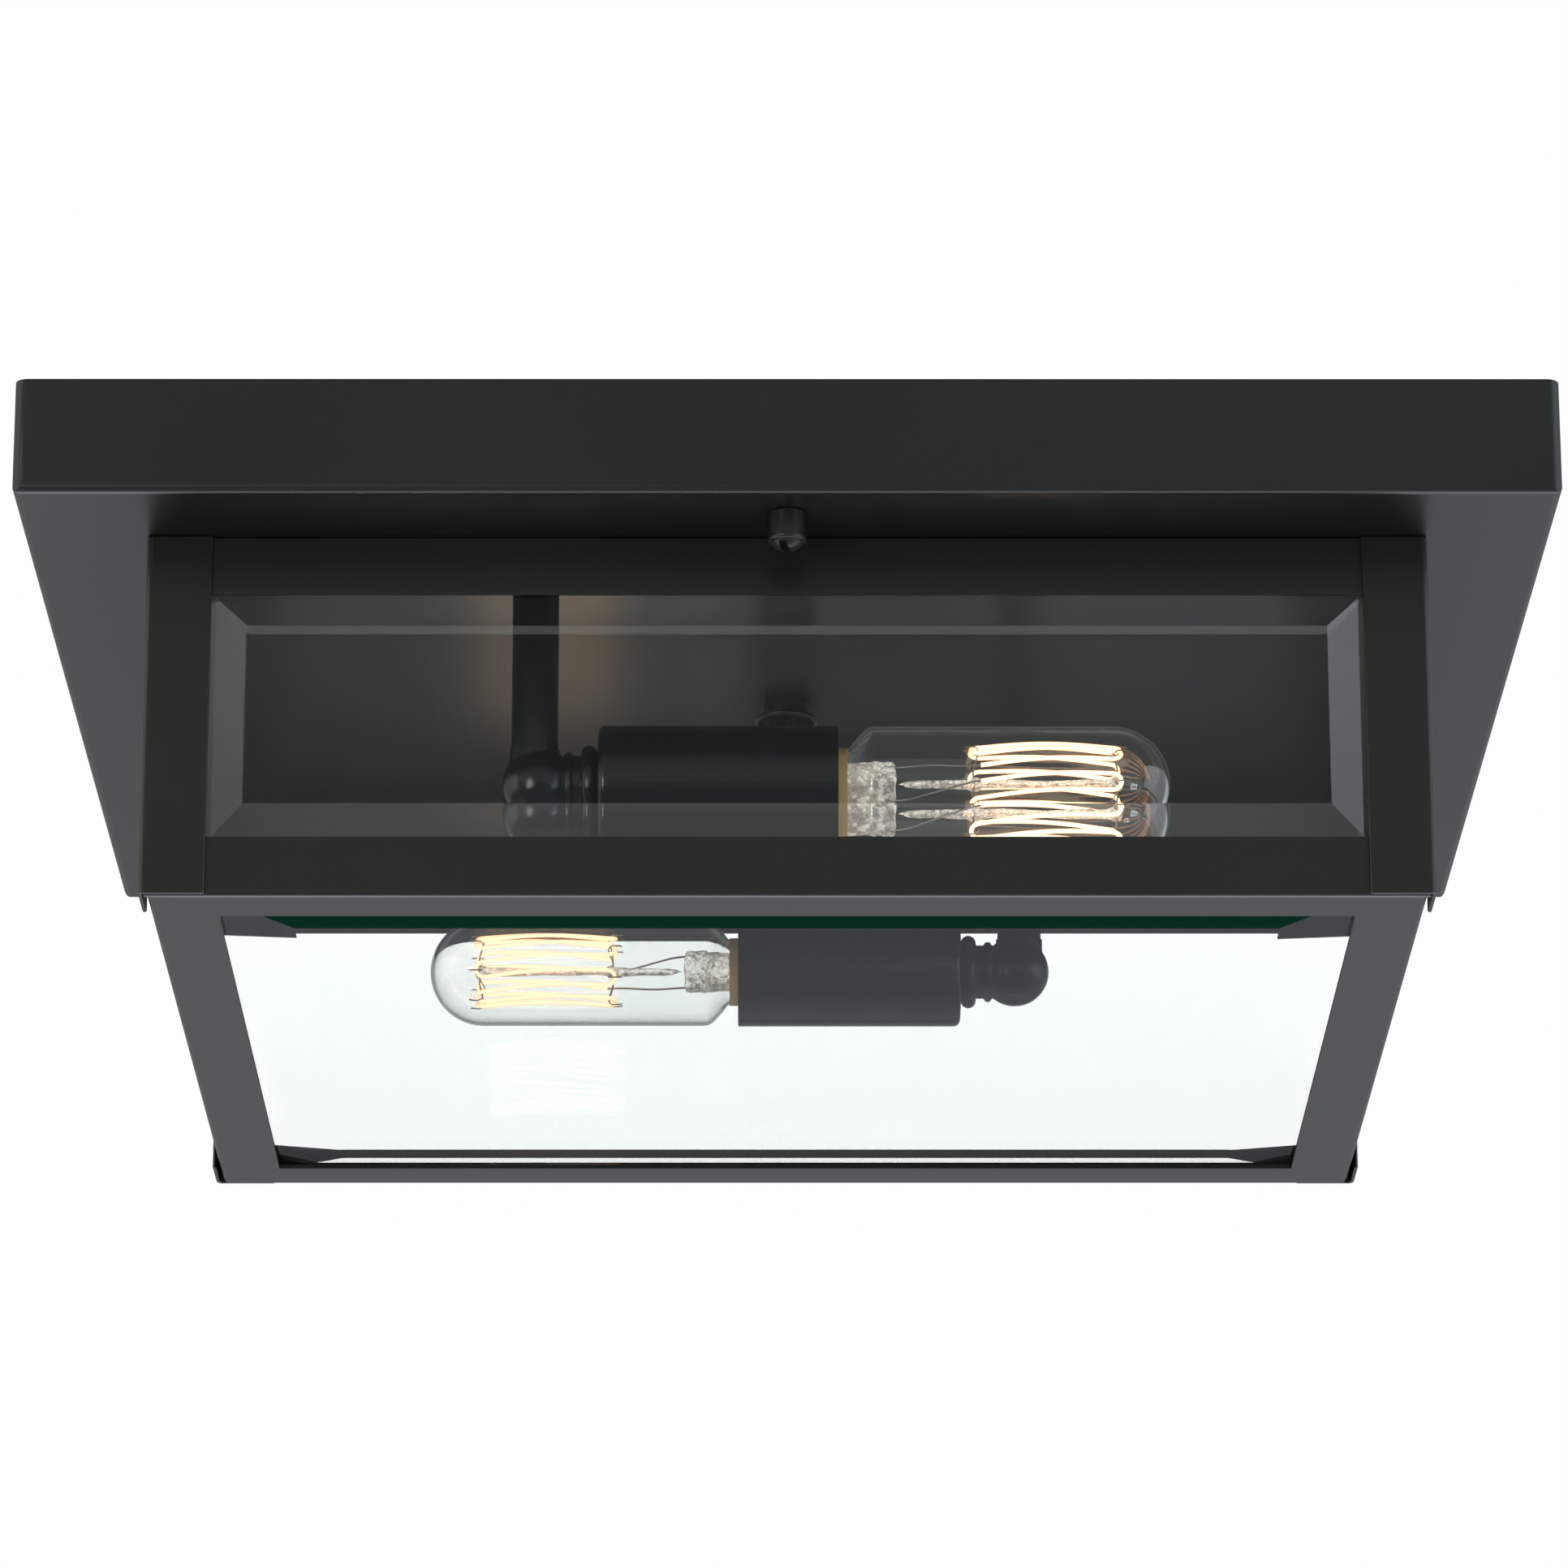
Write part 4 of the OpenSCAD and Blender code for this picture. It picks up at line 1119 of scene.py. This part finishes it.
def studio(stage):
    """White where the camera looks, straight or through glass, and soft light from all round elsewhere."""
    world = bpy.data.worlds.new("studio")
    world.use_nodes = True
    tree = world.node_tree
    tree.nodes.clear()
    place = add_node(tree, "ShaderNodeTexCoord", -1200, 600)
    x, y, z = axes(tree, place.outputs["Generated"], -1000, 600)
    ray = add_node(tree, "ShaderNodeLightPath", -1200, 0).outputs

    # seen through clear glass, where the ray wasn't mirrored or scattered
    unscattered = maths(tree, "LESS_THAN", ray["Diffuse Depth"], 0.5, -900, -100)
    unmirrored = maths(tree, "LESS_THAN", ray["Glossy Depth"], 0.5, -900, -250)
    through = times(tree, ray["Is Transmission Ray"], unmirrored, -700, -100)
    through = times(tree, through, unscattered, -500, -100)
    white = maths(tree, "MAXIMUM", ray["Is Camera Ray"], through, -300, 0)

    # mirrored once by clear glass, with one pane at most on the way
    once = maths(tree, "LESS_THAN", ray["Glossy Depth"], 1.5, -900, -400)
    one_pane = maths(tree, "LESS_THAN", ray["Transmission Depth"], 2.5, -900, -550)
    mirrored = times(tree, ray["Is Singular Ray"], once, -700, -300)
    mirrored = times(tree, mirrored, one_pane, -500, -300)
    mirrored = times(tree, mirrored, unscattered, -300, -300)

    soft = soft_light(tree, stage, x, y, z)
    screens = mirrored_screens(tree, stage, x, y, z)
    around = mix(tree, "FLOAT", mirrored, soft, screens, 100, 300)
    seen = mix(tree, "FLOAT", ray["Is Camera Ray"], stage.white_through_glass, 1.0, 200, 0)
    strength = mix(tree, "FLOAT", white, around, seen, 400, 200)

    rightward = smooth_step(tree, x, -0.4, 0.8, 0, 1, 0, -300)
    hue = mix(tree, "RGBA", rightward, stage.left_color, stage.right_color, 300, -300)
    color = mix(tree, "RGBA", white, hue, (1, 1, 1), 500, -300)
    light = add_node(tree, "ShaderNodeBackground", 800, 0)
    fill(tree, light, {"Color": color, "Strength": strength})
    out = add_node(tree, "ShaderNodeOutputWorld", 1000, 0)
    tree.links.new(light.outputs[0], out.inputs["Surface"])
    return world


def add_camera(stage):
    """The photograph's camera: it looks up at the middle of the canopy's underside."""
    up_by, aside = stage.elevation, stage.azimuth
    ahead = Vector((math.sin(aside) * math.cos(up_by), math.cos(aside) * math.cos(up_by), math.sin(up_by)))
    right = Vector((math.cos(aside), -math.sin(aside), 0))
    up = right.cross(ahead)
    aim = Vector((0, 0, low("canopy_shell").z)) + right * stage.shift_right + up * stage.shift_up
    turn = Matrix((right, up, -ahead)).transposed() @ Matrix.Rotation(stage.roll, 3, "Z")
    bpy.ops.object.camera_add()
    camera = bpy.context.object
    camera.name = "camera"
    camera.data.sensor_width = 36
    camera.data.lens = stage.lens
    camera.matrix_world = Matrix.Translation(aim - ahead * stage.distance) @ turn.to_4x4()
    return camera


def add_lamp(name, place, size, power, color):
    """A square lamp that faces the lantern."""
    lantern = Vector((0, 0, -0.08))
    bpy.ops.object.light_add(type="AREA", location=place)
    lamp = bpy.context.object
    lamp.name = name
    lamp.data.size = size
    lamp.data.energy = power
    lamp.data.color = color
    lamp.rotation_euler = (lantern - Vector(place)).to_track_quat("-Z", "Y").to_euler()


class LIGHT_OT_stage(bpy.types.Operator):
    """Set the camera at the photograph's angle, the floor and the lights"""

    bl_idname = "porch_light.stage"
    bl_label = "Camera, floor and lights"

    def execute(self, context):
        scene = context.scene
        stage = scene.light_stage
        scene.view_settings.view_transform = "Standard"
        deselect()
        scene.camera = add_camera(stage)

        pale_floor(stage)
        bpy.ops.mesh.primitive_plane_add(size=stage.floor_size, location=(0, 0, -stage.floor_drop))
        floor = context.object
        floor.name = "floor"
        floor.data.materials.append(look("pale_floor"))
        scene.world = studio(stage)

        add_lamp("key", (-1.0, -1.7, -0.45), size=0.4, power=5, color=(1, 0.98, 0.9))
        add_lamp("fill", (0.9, -0.9, -0.5), size=0.35, power=2.2, color=(0.7, 0.85, 1))
        return {"FINISHED"}


class LIGHT_PT_panel(bpy.types.Panel):
    """Sidebar panel with the settings and the steps"""

    bl_idname = "LIGHT_PT_panel"
    bl_label = "Flush mount light"
    bl_space_type = "VIEW_3D"
    bl_region_type = "UI"
    bl_category = "Light"

    def draw(self, context):
        layout = self.layout
        for group in ("light_finish", "light_bulb", "light_stage"):
            settings = getattr(context.scene, group)
            box = layout.box()
            for name in settings.__annotations__:
                box.prop(settings, name)
        for operator in OPERATORS:
            layout.operator(operator.bl_idname)


OPERATORS = (
    LIGHT_OT_materials,
    LIGHT_OT_edges,
    LIGHT_OT_bulb_glass,
    LIGHT_OT_bulb_press,
    LIGHT_OT_filament,
    LIGHT_OT_supports,
    LIGHT_OT_stage,
)
CLASSES = (FinishSettings, BulbSettings, StageSettings, *OPERATORS, LIGHT_PT_panel)


def register():
    for cls in CLASSES:
        bpy.utils.register_class(cls)
    bpy.types.Scene.light_finish = PointerProperty(type=FinishSettings)
    bpy.types.Scene.light_bulb = PointerProperty(type=BulbSettings)
    bpy.types.Scene.light_stage = PointerProperty(type=StageSettings)


def unregister():
    del bpy.types.Scene.light_stage
    del bpy.types.Scene.light_bulb
    del bpy.types.Scene.light_finish
    for cls in reversed(CLASSES):
        bpy.utils.unregister_class(cls)


def main():
    register()
    deselect()
    for operator in OPERATORS:
        family, name = operator.bl_idname.split(".")
        getattr(getattr(bpy.ops, family), name)()


if __name__ == "__main__":
    main()
